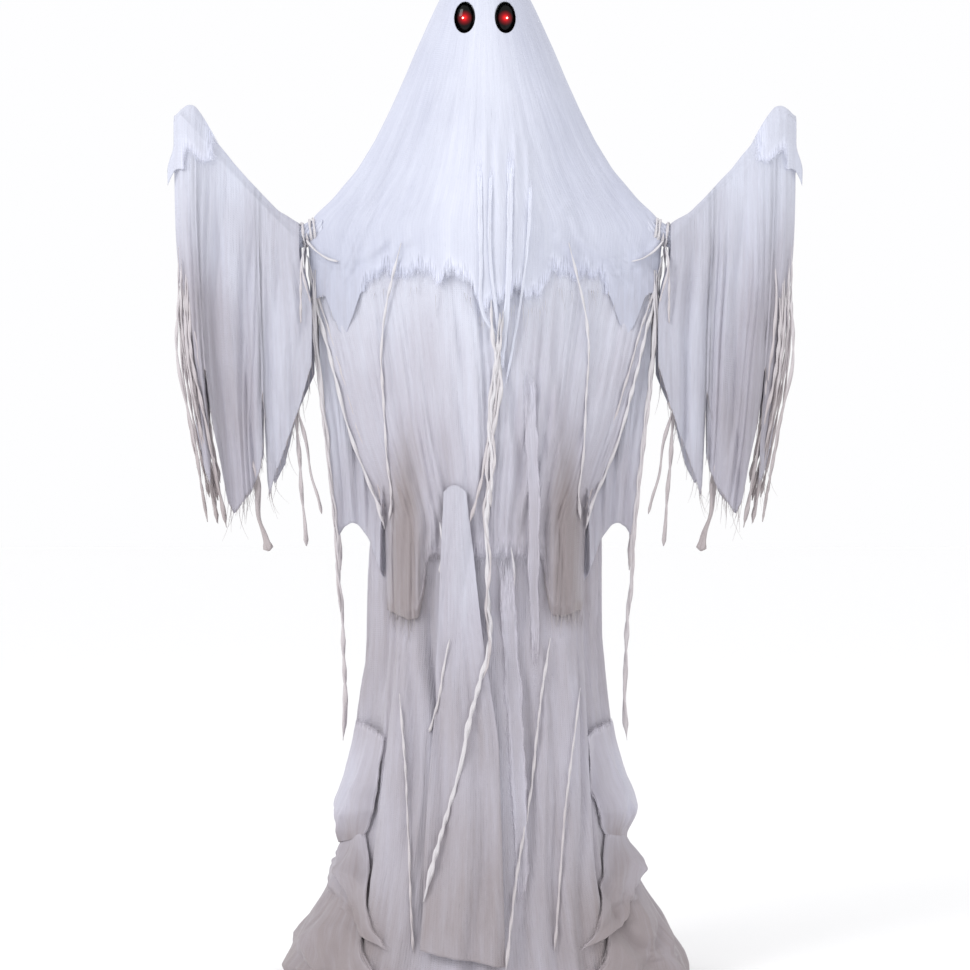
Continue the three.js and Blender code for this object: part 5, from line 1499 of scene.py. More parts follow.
@dataclass
class FoldedCloth:
    """A cloth folded over an arm: front layer, ridge and rear layer in one sheet.

    A point is given by its share along the arm and its share down either layer.
    """

    side: Side
    columns: int
    drops: int  # rows of a layer
    over: int = 5  # rows of the ridge on each side

    def ridge(self, along: Array) -> tuple[Array, Array, Array, Array]:
        """The ridge along the arm: x, height of its top, height and half thickness of its round."""
        raise NotImplementedError

    def hem(self, along: Array, face: Face) -> Array:
        """Height of a layer's lower edge."""
        raise NotImplementedError

    def lean(self, along: Array, z: Array) -> Array:
        """How far the cloth is shifted along x at a height."""
        raise NotImplementedError

    def stand_off(self, along: Array, x: Array, z: Array, share: Array, face: Face) -> Array:
        """How far a layer lies from y = 0, beyond the ridge's half thickness."""
        raise NotImplementedError

    def grid(self) -> tuple[Array, Array]:
        """The whole sheet's points and, for each, its share down its layer.

        The ridge is half an ellipse from layer to layer, and each layer falls from its foot.

        Returns:
            The points, and the shares.
        """
        along = np.linspace(0, 1, self.columns)[None]
        x, top, rise, half = self.ridge(along)
        layers = []
        for face in Face:
            share = np.linspace(1, 0, self.drops)[:, None]
            start = top - rise
            z = mix(start, self.hem(along, face), share)
            hung_x = x + self.lean(along, z) * smoothstep(share, 0.0, 0.6)
            y = half + self.stand_off(along, hung_x, z, share, face)
            layer = np.stack([self.side.value * hung_x, face.value * y, z], -1)
            layers.append((layer, np.broadcast_to(share, z.shape)))
        angle = np.linspace(0, np.pi, 2 * self.over + 2)[1:-1, None]
        arch = (self.side.value * x, -half * np.cos(angle), top - rise + rise * np.sin(angle))
        arch = np.stack(np.broadcast_arrays(*arch), -1)
        points = np.concatenate([layers[0][0], arch, layers[1][0][::-1]])
        share = np.concatenate([layers[0][1], np.zeros(arch.shape[:2]), layers[1][1][::-1]])
        return points, share

    @staticmethod
    def outward(points: Array) -> Array:
        """Out of the fold: towards the front before y = 0, towards the rear behind it."""
        return np.sign(points + 1e-9) * (0, 1, 0)

    def creased(self, points: Array, depth: float, size: float, seed: float) -> Array:
        """Adds small creases of a depth and size to both layers."""
        points[..., 1] += np.sign(points[..., 1]) * depth * crumple(points, size, seed)
        return points


# Arms as [distance from the middle, height]
ELBOW = (0.384, 1.506)
SHOULDER = (0.070, 1.640)
FOREARM_TILT = math.radians(46.3)
UPPER_ARM_SLOPE = (SHOULDER[1] - ELBOW[1]) / (ELBOW[0] - SHOULDER[0])


def upper_arm_axis(x: Array) -> Array:
    """Height of the upper arm's axis, carried on past the elbow."""
    return ELBOW[1] + (ELBOW[0] - x) * UPPER_ARM_SLOPE


@dataclass
class Sleeve(FoldedCloth):
    """A wide torn sleeve over a forearm, pushed up by the hand, with lobes and slits below."""

    columns: int = 150
    drops: int = 72
    first: float = -0.008  # its reach beyond the elbow, from
    last: float = 0.248  # and to
    hand: float = 0.034  # length of its end that the hand pushes up
    seat: float = 0.0118  # least distance from the forearm's axis
    draw_in: float = 0.076  # how far the outer edge hangs inwards
    crumpled: tuple[float, float, float] = (0.0010, 0.03, 7.0)  # depth, size and seed of its creases
    folds: tuple = ((0.0105, 0.058, 0.7, 0.0), (0.0045, 0.022, 1.4, 2.0))  # depth, width, wander, seed
    bundle: int = 13  # strands down its outer edge
    # [reach beyond the elbow, rise above the arm's axis, half thickness]
    ridge_line: tuple = (
        (-0.008, 0.038, 0.029), (0.016, 0.028, 0.024), (0.036, 0.0185, 0.016), (0.074, 0.018, 0.013),
        (0.124, 0.020, 0.013), (0.162, 0.027, 0.020), (0.192, 0.047, 0.028), (0.206, 0.050, 0.030),
        (0.222, 0.035, 0.026), (0.240, 0.000, 0.018), (0.248, -0.018, 0.012),
    )
    # Lower edge: [x where the cloth hangs, height]
    front_edge: tuple = (
        (0.350, 1.254), (0.374, 1.172), (0.394, 1.112), (0.410, 1.072), (0.428, 1.024), (0.438, 0.988),
        (0.441, 1.010), (0.443, 1.190), (0.447, 1.200), (0.449, 1.080), (0.456, 1.040), (0.472, 1.005),
        (0.490, 0.985), (0.504, 0.966), (0.518, 0.952), (0.527, 0.975), (0.534, 1.060), (0.543, 1.140),
        (0.545, 1.240), (0.548, 1.245), (0.551, 1.090), (0.560, 1.010), (0.568, 1.030), (0.578, 1.080),
    )
    rear_edge: tuple = (
        (0.350, 1.236), (0.385, 1.150), (0.410, 1.050), (0.432, 1.010), (0.438, 1.030), (0.442, 1.180),
        (0.448, 1.190), (0.452, 1.070), (0.480, 1.000), (0.502, 0.975), (0.520, 1.010), (0.540, 1.090),
        (0.544, 1.240), (0.549, 1.240), (0.556, 1.090), (0.578, 1.110),
    )
    # Strands at the lower edge: route [distance from the middle, height], radius, grime at its end
    tips: tuple = (
        (((0.470, 1.060), (0.462, 1.000), (0.458, 0.940), (0.446, 0.905), (0.438, 0.870)), 0.0052, 0.8),
        (((0.384, 1.164), (0.378, 1.080), (0.372, 1.000), (0.366, 0.930), (0.362, 0.880)), 0.0031, 0.6),
        (((0.382, 1.160), (0.362, 1.090), (0.352, 1.020), (0.338, 0.975), (0.331, 0.945)), 0.0026, 0.6),
        (((0.386, 1.200), (0.386, 1.182), (0.378, 1.172), (0.380, 1.155)), 0.0044, 0.5),
    )

    def ridge(self, along: Array) -> tuple[Array, Array, Array, Array]:
        """The ridge follows the forearm and is pushed up by the hand near its outer end.

        Args:
            along: shares along the arm, from its outer end.

        Returns:
            Its x, the height of its top, and the height and half thickness of its round.
        """
        reach = mix(self.last, self.first, along)
        axis = ELBOW[1] + reach * math.tan(FOREARM_TILT)
        rise, half = (table_curve(self.ridge_line, reach, column, 0.006) for column in (1, 2))
        seat = self.seat / math.cos(FOREARM_TILT)
        rise = np.where(reach < self.last - self.hand, np.maximum(rise, seat), rise)
        ripple = 0.0016 * NOISE(along * 11, 0.5, self.side.value)
        return ELBOW[0] + reach, axis + rise + ripple, np.maximum(rise, 0.015), half

    def hung_x(self, along: Array) -> Array:
        """Where a line of the cloth hangs near its lower edge."""
        return ELBOW[0] + mix(self.last, self.first, along) + self.lean(along, np.array(1.05))

    def hem(self, along: Array, face: Face) -> Array:
        """The torn lower edge, with its lobes and slits.

        Args:
            along: shares along the arm, from its outer end.
            face: which layer.

        Returns:
            The heights.
        """
        table = self.front_edge if face is Face.FRONT else self.rear_edge
        x = self.hung_x(along)
        return table_curve(table, x, 1) - ragged(x, 0.012, 1.0 + face.value)

    def lean(self, along: Array, z: Array) -> Array:
        """The outer edge hangs inwards, the more the farther down: as the square of the drop.

        Args:
            along: shares along the arm, from its outer end.
            z: heights.

        Returns:
            The shifts.
        """
        down = np.clip((1.72 - z) / 0.78, 0, 1.1)
        inner = 0.026 * smoothstep(1.52 - z, 0.02, 0.10)
        return -self.draw_in * (1 - along**0.7) * down**2 - inner * along**6

    def stand_off(self, along: Array, x: Array, z: Array, share: Array, face: Face) -> Array:
        """Folds that fan out from the hand and the elbow, deeper towards the lower edge.

        Args:
            along: shares along the arm, from its outer end.
            x: not used.
            z: heights.
            share: shares down the layer.
            face: which layer.

        Returns:
            The distances.
        """
        fold = fold_sum(self.folds, along * 0.26, z, 2.0 * self.side.value + 0.7 * face.value)
        closing = smoothstep(along, 0.0, 0.10)
        base = (0.008 + 0.008 * share) * closing - 0.010 * (1 - closing) * smoothstep(share, 0.0, 0.2)
        return base + fold * smoothstep(share, 0.0, 0.35) * (0.4 + 0.6 * closing)

    def grime_and_shade(self, points: Array, share: Array) -> Array:
        """Clean over the arm, stained towards the lower edge and along the outer edge.

        Args:
            points: the sleeve's.
            share: shares down its layer.

        Returns:
            The stains' strength.
        """
        x, z = np.abs(points[..., 0]), points[..., 2]
        down = below(z, 1.70, 1.38) - 0.6 * below(z, 1.25, 1.05)
        outer = smoothstep(x + 0.30 * (1.7 - z), 0.56, 0.68) * below(z, 1.62, 1.30)
        return 0.05 + 0.20 * down + 0.32 * outer + 0.10 * NOISE(x / 0.05, z / 0.2, 6.0) + 0.03 * share

    def build(self) -> None:
        """Makes the sleeve with its strands and loose threads."""
        points, share = self.grid()
        points = self.creased(points, *self.crumpled)
        word = self.side.word
        mesh = MeshBuilder().add_grid(points, self.grime_and_shade(points, share), self.outward(points))
        piece = finish_cloth(mesh.build(f"sleeve_{word}_cloth"), THIN_GAUZE, replaces=["sleeve_" + word])
        strands = self._strands(word)
        threads = MeshBuilder()
        fringe(threads, points[0], 70, 0.07, 0.7, 31)
        fringe(threads, points[-1], 50, 0.06, 0.7, 32)
        loose = finish_strands(threads, f"sleeve_{word}_threads")
        for each in (piece, strands, loose):
            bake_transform(each)

    def _strands(self, word: str) -> Object:
        """Twisted strands: a bundle down the outer edge and torn strips at the lower edge.

        Args:
            word: left or right.

        Returns:
            The strands, as one piece.
        """
        builder = MeshBuilder()
        mirror = np.array((self.side.value, 1, 1))
        draw = np.random.default_rng(11)
        for k in range(self.bundle):
            share = k / (self.bundle - 1)
            top = (0.622 - 0.034 * share, 1.500 - 0.10 * draw.uniform())
            low = (0.560 - 0.030 * share + 0.008 * draw.normal(), 0.915 + 0.10 * draw.uniform() * (1 + share))
            y = -0.034 + 0.010 * math.cos(k * 2.4)
            bow = 0.006 * draw.normal()
            upper, lower = ([mix(a, b, part) for a, b in zip(top, low)] for part in (0.30, 0.62))
            route = (
                (top[0], -0.026, top[1]),
                (upper[0] + 0.016 + bow, y, upper[1]),
                (lower[0] + 0.012 - bow, y, lower[1]),
                (low[0], 0.7 * y, low[1]),
            )
            radius = 0.0016 + 0.0014 * draw.uniform()
            Strand(mirror * route, radius, 0.13, (0.25, 0.8), 0.3, float(k)).add_to(builder)
        for n, (line, radius, dirt) in enumerate(self.tips):
            route = mirror * [(x, -0.020 - 0.002 * n, z) for x, z in line]
            Strand(route, radius, 0.18, (0.5, dirt), 0.5, 20.0 + n).add_to(builder)
        return finish_strands(builder, f"sleeve_{word}_strands")


@dataclass
class SideDrape(FoldedCloth):
    """A thin drape over an upper arm, between the robe and the sleeve."""

    columns: int = 70
    drops: int = 110
    outer: float = 0.330  # x of its ridge, from
    inner: float = 0.176  # and to
    hung: tuple[float, float] = (0.297, 0.185)  # x of the lower edge's ends
    seat: float = 0.0128  # distance from the upper arm's axis
    crumpled: tuple[float, float, float] = (0.0007, 0.03, 9.0)  # depth, size and seed of its creases
    folds: tuple = ((0.0045, 0.050, 0.6, 3.0), (0.0015, 0.019, 1.4, 6.0))  # depth, width, wander, seed
    # Lower edge: [x where it hangs, height]
    edge: tuple = (
        (0.185, 0.790), (0.205, 0.815), (0.220, 0.855), (0.234, 0.893), (0.248, 0.918), (0.264, 0.930),
        (0.276, 0.924), (0.290, 0.908), (0.305, 0.890),
    )
    # Outer edge: [height, x]
    outline: tuple = (
        (0.860, 0.297), (0.940, 0.304), (1.040, 0.314), (1.140, 0.324), (1.230, 0.334), (1.324, 0.343),
        (1.420, 0.346), (1.500, 0.338), (1.560, 0.330),
    )
    # The outer edge's strand: [distance from the middle, distance before y = 0, height]
    strand: tuple = (
        (0.344, 0.020, 1.440), (0.345, 0.024, 1.324), (0.336, 0.026, 1.227), (0.322, 0.026, 1.107),
        (0.308, 0.026, 0.980), (0.300, 0.026, 0.900), (0.297, 0.024, 0.830), (0.290, 0.022, 0.747),
        (0.285, 0.022, 0.627), (0.284, 0.022, 0.540), (0.288, 0.022, 0.486),
    )
    # Its three parts: face, points, shift outwards and from y = 0, radius, pitch, clean grime, seed
    parts: tuple = (
        (Face.FRONT, 11, 0.000, 0.000, 0.0036, 0.15, 0.1, 2.0),
        (Face.FRONT, 8, 0.003, 0.003, 0.0020, 0.12, 0.2, 5.0),
        (Face.REAR, 7, -0.002, 0.000, 0.0030, 0.14, 0.2, 6.0),
    )

    def ridge(self, along: Array) -> tuple[Array, Array, Array, Array]:
        """The ridge lies on the upper arm, which falls from the shoulder to the elbow.

        Args:
            along: shares along the arm, from its outer end.

        Returns:
            Its x, the height of its top, and the height and half thickness of its round.
        """
        x = mix(self.outer, self.inner, along)
        rise = self.seat / math.cos(math.atan(UPPER_ARM_SLOPE))
        return x, upper_arm_axis(x) + rise, rise, self.seat

    def hem(self, along: Array, face: Face) -> Array:
        """An arch between the outer corner and the robe.

        Args:
            along: shares along the arm, from its outer end.
            face: which layer.

        Returns:
            The heights.
        """
        x = mix(*self.hung, along)
        rough = 0.006 * NOISE(along * 9, 0.5, face.value * 2.0)
        return table_curve(self.edge, x, 1, 0.006) + rough + 0.02 * (face is Face.REAR)

    def lean(self, along: Array, z: Array) -> Array:
        """The outer edge follows its outline; the inner one falls straight.

        Args:
            along: shares along the arm, from its outer end.
            z: heights.

        Returns:
            The shifts.
        """
        outer = table_curve(self.outline, z, 1, 0.03) - self.outer
        inner = 0.010 * smoothstep(1.5 - z, 0, 0.6)
        return mix(outer, inner, along)

    def stand_off(self, along: Array, x: Array, z: Array, share: Array, face: Face) -> Array:
        """Off the arm by its own folds, and in front of the robe where it comes before it.

        Args:
            along: shares along the arm, from its outer end.
            x: distances from the middle.
            z: heights.
            share: shares down the layer.
            face: which layer.

        Returns:
            The distances.
        """
        fold = fold_sum(self.folds, along * 0.16, z, face.value)
        loose = 0.002 + 0.006 * smoothstep(share, 0.2, 0.6) + fold * smoothstep(share, 0.15, 0.5)
        half_robe = ROBE.half(z)
        robe = ROBE.height(np.minimum(x, half_robe), z, 0.005, face, 0.2) - self.seat
        near = 1 - smoothstep(x, half_robe, half_robe + 0.030)
        return np.maximum(loose, robe * near + 0.3 * fold)

    def build(self) -> None:
        """Makes the drape, with a strand on its outer edge that hangs on down to the bunched cloth."""
        points = self.creased(self.grid()[0], *self.crumpled)
        z = points[..., 2]
        grime_and_shade = 0.12 + 0.30 * below(z, 1.40, 0.9) + 0.1 * NOISE(points[..., 0] / 0.03, z / 0.2, 8.0)
        word = self.side.word
        mesh = MeshBuilder().add_grid(points, grime_and_shade, self.outward(points)).build(f"side_drape_{word}_cloth")
        piece = finish_cloth(mesh, THIN_GAUZE, replaces=["side_drape_" + word])
        builder = MeshBuilder()
        for face, count, aside, off, radius, pitch, clean, seed in self.parts:
            line = np.array(self.strand[:count]) + (aside, off, 0)
            line = line * (self.side.value, face.value, 1)
            Strand(line, radius, pitch, (clean, 0.5), 0.3, seed + self.side.value).add_to(builder)
        strand = finish_strands(builder, f"side_drape_{word}_strand")
        lift_with_mast(piece, strand)


@dataclass
class Shroud:
    """The gauze over the head and both upper arms, with an opening for each eye."""

    crown: float = 2.066
    temple: float = 1.960
    columns: int = 380
    rows: int = 118
    dome: tuple[float, float] = (0.0889, 0.1009)  # half width and depth at the temples
    hem: float = 1.398
    stations: tuple = (
        (1.300, 0.352, 0.146), (1.398, 0.356, 0.143), (1.480, 0.358, 0.137), (1.524, 0.366, 0.133),
        (1.554, 0.345, 0.130), (1.584, 0.312, 0.128), (1.614, 0.287, 0.127), (1.644, 0.261, 0.126),
        (1.704, 0.224, 0.125), (1.764, 0.194, 0.123), (1.824, 0.167, 0.121), (1.884, 0.142, 0.117),
        (1.944, 0.115, 0.111), (1.974, 0.101, 0.106), (1.990, 0.0930, 0.1012),
        (2.004, 0.0850, 0.0942), (2.020, 0.0744, 0.0836),
    )
    arm_depth: float = 0.036
    body_half: float = 0.190
    head_half: float = 0.516
    spreading: tuple[float, float] = (0.100, 0.420)  # drop from the crown over which it spreads
    eye: tuple[float, float] = (0.0217, 0.0327)  # half width and height of the openings
    folds: tuple = ((0.0030, 0.060, 0.8, 1.1), (0.0010, 0.023, 1.5, 2.3))  # depth, width, wander, seed
    tuck: tuple[float, float] = (0.262, 1.452)  # where the swags are drawn in
    # Swags at both sides: route [distance from the middle, height], width, height of the ridge
    swags: tuple = (
        (((0.366, 1.500), (0.320, 1.455), (0.262, 1.432), (0.200, 1.446), (0.150, 1.500)), 0.010, 0.0060),
        (((0.360, 1.470), (0.310, 1.432), (0.250, 1.414), (0.190, 1.425), (0.130, 1.470)), 0.009, 0.0040),
        (((0.368, 1.515), (0.340, 1.480), (0.300, 1.456), (0.266, 1.454)), 0.008, 0.0060),
        (((0.262, 1.454), (0.230, 1.470), (0.190, 1.500), (0.160, 1.560)), 0.009, 0.0050),
        (((0.262, 1.446), (0.284, 1.420), (0.300, 1.396)), 0.006, 0.0030),
    )
    # Strips of a second layer on the front: route [x, height], width, height of the ridge
    strips: tuple = (
        (((0.000, 1.700), (-0.001, 1.560), (0.004, 1.440), (0.020, 1.330)), 0.0070, 0.0046),
        (((0.026, 1.720), (0.024, 1.580), (0.026, 1.450), (0.028, 1.330)), 0.0080, 0.0050),
        (((0.060, 1.700), (0.062, 1.560), (0.056, 1.450), (0.034, 1.330)), 0.0062, 0.0052),
        (((0.086, 1.690), (0.088, 1.560), (0.078, 1.450), (0.040, 1.340)), 0.0050, 0.0050),
        (((0.110, 1.560), (0.096, 1.470), (0.060, 1.390)), 0.0050, 0.0030),
    )

    def oval(self, z: Array) -> list[Array]:
        """Half width and depth: the dome over the head, and the stations below where wider.

        Args:
            z: heights.

        Returns:
            The half widths and the half depths.
        """
        rise = np.sqrt(1 - np.clip((z - self.temple) / (self.crown - self.temple), 0, 1) ** 2)
        sizes = []
        for column, dome in enumerate(self.dome, 1):
            station = table_curve(self.stations, z, column, 0.008)
            sizes.append(np.where(z <= self.stations[-1][0], np.maximum(dome * rise, station), dome * rise))
        return sizes

    def spread(self, z: Array) -> Array:
        """How far it has spread from the head to the arms at a height, from 0 to 1."""
        return smoothstep(self.crown - z, *self.spreading)

    def point(self, turn: Array, z: Array) -> Array:
        """Deep over the body and thin over the arms, with folds that fan out from the head.

        Args:
            turn: share of a turn round it.
            z: heights.

        Returns:
            The points.
        """
        half_width, half_depth = self.oval(z)
        x, s = half_width * np.cos(TAU * turn), np.sin(TAU * turn)
        spread = self.spread(z)
        y = np.abs(s) ** (1 - 0.4 * spread) * mix(half_depth, self.spread_depth(x, z), spread)
        out = self.relief(x, s < 0, z) * mix(1.0, 0.6, below(z, 1.48, 1.40))
        return np.stack([x, np.sign(s) * (y + out * np.abs(s) ** 0.5), z], -1)

    def spread_depth(self, x: Array, z: Array) -> Array:
        """Half depth where the cloth spreads over the arms: a bell curve of x over their thin edge.

        Args:
            x: distances from the middle.
            z: heights.

        Returns:
            The half depths.
        """
        body = mix(self.head_half, self.body_half, self.spread(z))
        half_depth = table_curve(self.stations, z, 2, 0.008)
        return self.arm_depth + (half_depth - self.arm_depth) * bell(x, 0.0, body)

    def cover(self, x: Array, z: Array) -> Array:
        """How far before y = 0 the cloth lies at a place in the front view, without its folds."""
        s = np.sqrt(np.maximum(1 - (x / self.oval(z)[0]) ** 2, 0.05))
        return self.spread_depth(x, z) * s ** (1 - 0.4 * self.spread(z))

    def front_depth(self, x: Array, z: Array) -> tuple[Array, Array]:
        """The y of its front face near the middle, and where it hangs as low as that (0 or 1).

        Args:
            x: distances from the middle.
            z: heights.

        Returns:
            The y, and the share.
        """
        turn = -np.arccos(np.clip(x / self.oval(z)[0], -1, 1)) / TAU
        hem = self.hem - self.hem_drop(x, np.ones_like(x, bool))
        return self.point(turn, z)[..., 1], smoothstep(z - hem, -0.03, 0.0)

    def relief(self, x: Array, front: Array, z: Array) -> Array:
        """All the cloth's folds, as a distance out of its face.

        Long folds fan out from the head. Swags hang between the elbows and the chest, round a
        tuck at each side, and strips of a second layer run down the middle of the front.

        Args:
            x: distances from the middle.
            front: whether a place is on the front.
            z: heights.

        Returns:
            The distances.
        """
        spread = self.spread(z)
        fan = x / (0.09 + 0.62 * np.clip(1.97 - z, 0, 1) ** 1.15) * 0.3 + np.where(front, 0.0, 2.0)
        out = spread * fold_sum(self.folds, fan, z)
        out += 0.0010 * NOISE(x / 0.03, z / 0.10, np.where(front, 0.5, 7.5)) * (0.4 + spread)
        ax = np.abs(x)
        for route, width, rise in self.swags:
            sunk = [(px + 0.004, pz - 1.9 * width) for px, pz in route]
            out += rise * (crease(ax, z, route, width) - 0.7 * crease(ax, z, sunk, width))
        out -= 0.009 * bell(np.hypot(ax - self.tuck[0], (z - self.tuck[1]) * 1.3), 0.0, 0.022)
        for route, width, rise in self.strips:
            out += np.where(front, rise, 0) * crease(x, z, route, width) * smoothstep(1.76 - z, 0.0, 0.12)
        return out

    def hem_drop(self, x: Array, front: Array) -> Array:
        """How far the hem hangs below its level.

        It has a point in the middle and one at each side, and tatters between them.

        Args:
            x: distances from the middle.
            front: whether a place is on the front.

        Returns:
            The drops.
        """
        middle = 0.060 * bell(x, 0.024, 0.050) * np.where(front, 1.0, 0.4)
        side = 0.094 * np.clip(1 - np.abs(np.abs(x) - 0.288) / 0.036, 0, 1) ** 0.9
        at = x + np.where(front, 0, 3.0)
        tatter = np.clip(NOISE(at / 0.045, 0.5, 2.5), 0, 1) * (0.4 + bell(x, 0.0, 0.16))
        return middle + side * np.where(front, 1.0, 0.6) + 0.070 * tatter + ragged(at, 0.010, 5.0)

    def build(self) -> None:
        """Makes the shroud, opens it at the eyes and adds the threads of its hem."""
        turn = np.arange(self.columns) / self.columns
        share = np.linspace(0, 1, self.rows) ** 0.9
        cap = self.temple + (self.crown - self.temple) * np.cos(np.radians(np.linspace(4, 78, 22)))
        half_width = self.oval(np.array(self.hem))[0]
        low = self.hem - self.hem_drop(half_width * np.cos(TAU * turn), np.sin(TAU * turn) < 0)
        upper = np.broadcast_to(cap[:, None], (len(cap), self.columns))
        z = np.concatenate([upper, mix(cap[-1], low, share[1:, None])])
        points, keep = self._open_eyes(self.point(np.broadcast_to(turn, z.shape), z))
        x, ax = points[..., 0], np.abs(points[..., 0])
        grime_and_shade = 0.10 + 0.12 * below(z, 1.60, 1.36) + 0.05 * NOISE(x / 0.09, z / 0.2, 3.0)
        # Painted shade: darker towards the sides of the head and the body, where the cloth turns from the
        # light
        grime_and_shade = grime_and_shade + 0.30 * smoothstep(ax, 0.0, 0.7 * self.oval(z)[0])
        frayed = 1 - smoothstep(z - low, 0.0, 0.075 + 0.03 * NOISE(x / 0.02, 0.5, 8.0))
        mesh = MeshBuilder().add_grid(
            points, grime_and_shade, points * (1, 1, 0) + (0, 0, 0.001), around=True, pole=(0, 0, self.crown),
            keep=keep, sheer=frayed * (1 - smoothstep(ax, 0.23, 0.26)),
        )
        piece = finish_cloth(mesh.build("shroud_cloth"), SHROUD_GAUZE, replaces=["shroud"])
        threads = MeshBuilder()
        fringe(threads, points[-1], 130, 0.05, 0.15, 51)
        loose = finish_strands(threads, "shroud_threads")
        for each in (piece, loose):
            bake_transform(each)

    def _open_eyes(self, points: Array) -> tuple[Array, Array]:
        """Cuts an oval opening round each eye.

        A point inside an oval is moved straight out to its rim, and a quad whose four corners
        were all inside is dropped.

        Args:
            points: the whole cloth's.

        Returns:
            The points, and which quads stay.
        """
        inside = np.zeros(points.shape[:2], bool)
        moved = points.copy()
        for side in Side:
            low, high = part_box("eye_lens_" + side.word)
            middle = np.array((low + high) / 2)[[0, 2]]
            offset = (points[..., [0, 2]] - middle) / self.eye
            gap = np.hypot(offset[..., 0], offset[..., 1])
            within = (gap < 1) & (points[..., 1] < 0)
            rim = middle + offset / np.maximum(gap, 0.05)[..., None] * self.eye
            moved[..., [0, 2]] = np.where(within[..., None], rim, moved[..., [0, 2]])
            inside |= within
        right = np.roll(inside, -1, 1)
        return moved, ~(inside[:-1] & inside[1:] & right[:-1] & right[1:])


SHROUD = Shroud()


@dataclass
class Eyes:
    """Two egg-shaped glossy lenses, each round a red light."""

    rings: int = 40
    sides: int = 64
    half: tuple[float, float, float] = (0.0222, 0.012, 0.033)  # half width, depth and height
    turned: float = math.radians(16)  # outwards, as the head's round asks
    lean: float = 0.10  # the egg's top leans towards the middle
    narrow: float = 0.10  # how much narrower the upper half is
    flat: float = 0.115  # angle from the ball's front pole to the rim of the small flat at the light

    def build(self) -> None:
        """Makes both lenses."""
        for side in Side:
            self._lens(side)

    def _lens(self, side: Side) -> None:
        """An egg in its CAD node's box, turned as its light is, with a small flat at the light.

        A ball point's x shrinks by the narrow share towards the top and is shifted by the lean.

        Args:
            side: which eye.
        """
        low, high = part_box("eye_lens_" + side.word)
        light_low, light_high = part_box("eye_light_" + side.word)
        middle, light = np.array((low + high) / 2), (light_low + light_high) / 2
        polar = np.linspace(self.flat, math.pi - 0.02, self.rings)
        polar, round_ = np.meshgrid(polar, np.arange(self.sides) * TAU / self.sides, indexing="ij")
        across, ahead, up = np.sin(polar) * np.cos(round_), -np.cos(polar), np.sin(polar) * np.sin(round_)
        width, depth, height = self.half
        wide = 1 - self.narrow * up * 0.5 - self.narrow * 0.25
        x = width * across * wide - side.value * self.lean * height * up * 0.25
        y = depth * ahead
        c, s = math.cos(self.turned), side.value * math.sin(self.turned)
        offset = np.stack([x * c - y * s, x * s + y * c, height * up], -1)
        mesh = MeshBuilder().add_grid(middle + offset, 0.0, offset, around=True, capped=True)
        lens = mesh.build(f"eye_lens_{side.word}_gloss")
        LitLens("black_acrylic_" + side.word, (light.x, light_low.y, light.z)).dress(lens)
        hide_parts("eye_lens_" + side.word)
        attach(lens, "head")


@dataclass
class FrontGround:
    """The figure's front as strips and strands feel it: the outermost of the cloths that hang there."""

    layer: UpperLayer
    panel: FrontPanel

    def depth(self, x: Array, z: Array) -> Array:
        """The y of the outermost face at places in the front view.

        Args:
            x: distances from the middle.
            z: heights.

        Returns:
            The y.
        """
        y = ROBE.over(x, z, 0.0)[..., 1]
        left, right = self.panel.sides(z)
        across = (x - left) / (right - left)
        inside = smoothstep(np.abs(across - 0.5), 0.62, 0.50)
        inside = inside * below(z, self.panel.top, self.panel.top - 0.02)
        for depth, there in (
            self.layer.face_depth(x, z),
            (self.panel.point(np.clip(across, 0, 1), z)[..., 1], inside),
            SHROUD.front_depth(x, z),
        ):
            y = np.where(there > 0, np.minimum(y, mix(y, depth, there)), y)
        return y

    def laid(self, route: Sequence[Sequence[float]], stand_off: float) -> Array:
        """A route [x, z] as points before the cloth, which span its narrow hollows.

        Each point goes to the farthest place within 24 mm along the route, and is then averaged
        with its neighbours.

        Args:
            route: its points.
            stand_off: how far before the cloth it lies.

        Returns:
            The points.
        """
        path = smooth_route([(x, 0.0, z) for x, z in route], SPACING)
        y = self.depth(path[:, 0], path[:, 2])
        for window, combine in ((4, np.min), (5, np.mean)):
            padded = np.pad(y, window, mode="edge")
            y = combine([padded[k : k + len(y)] for k in range(2 * window + 1)], axis=0)
        path[:, 1] = y - stand_off
        return path


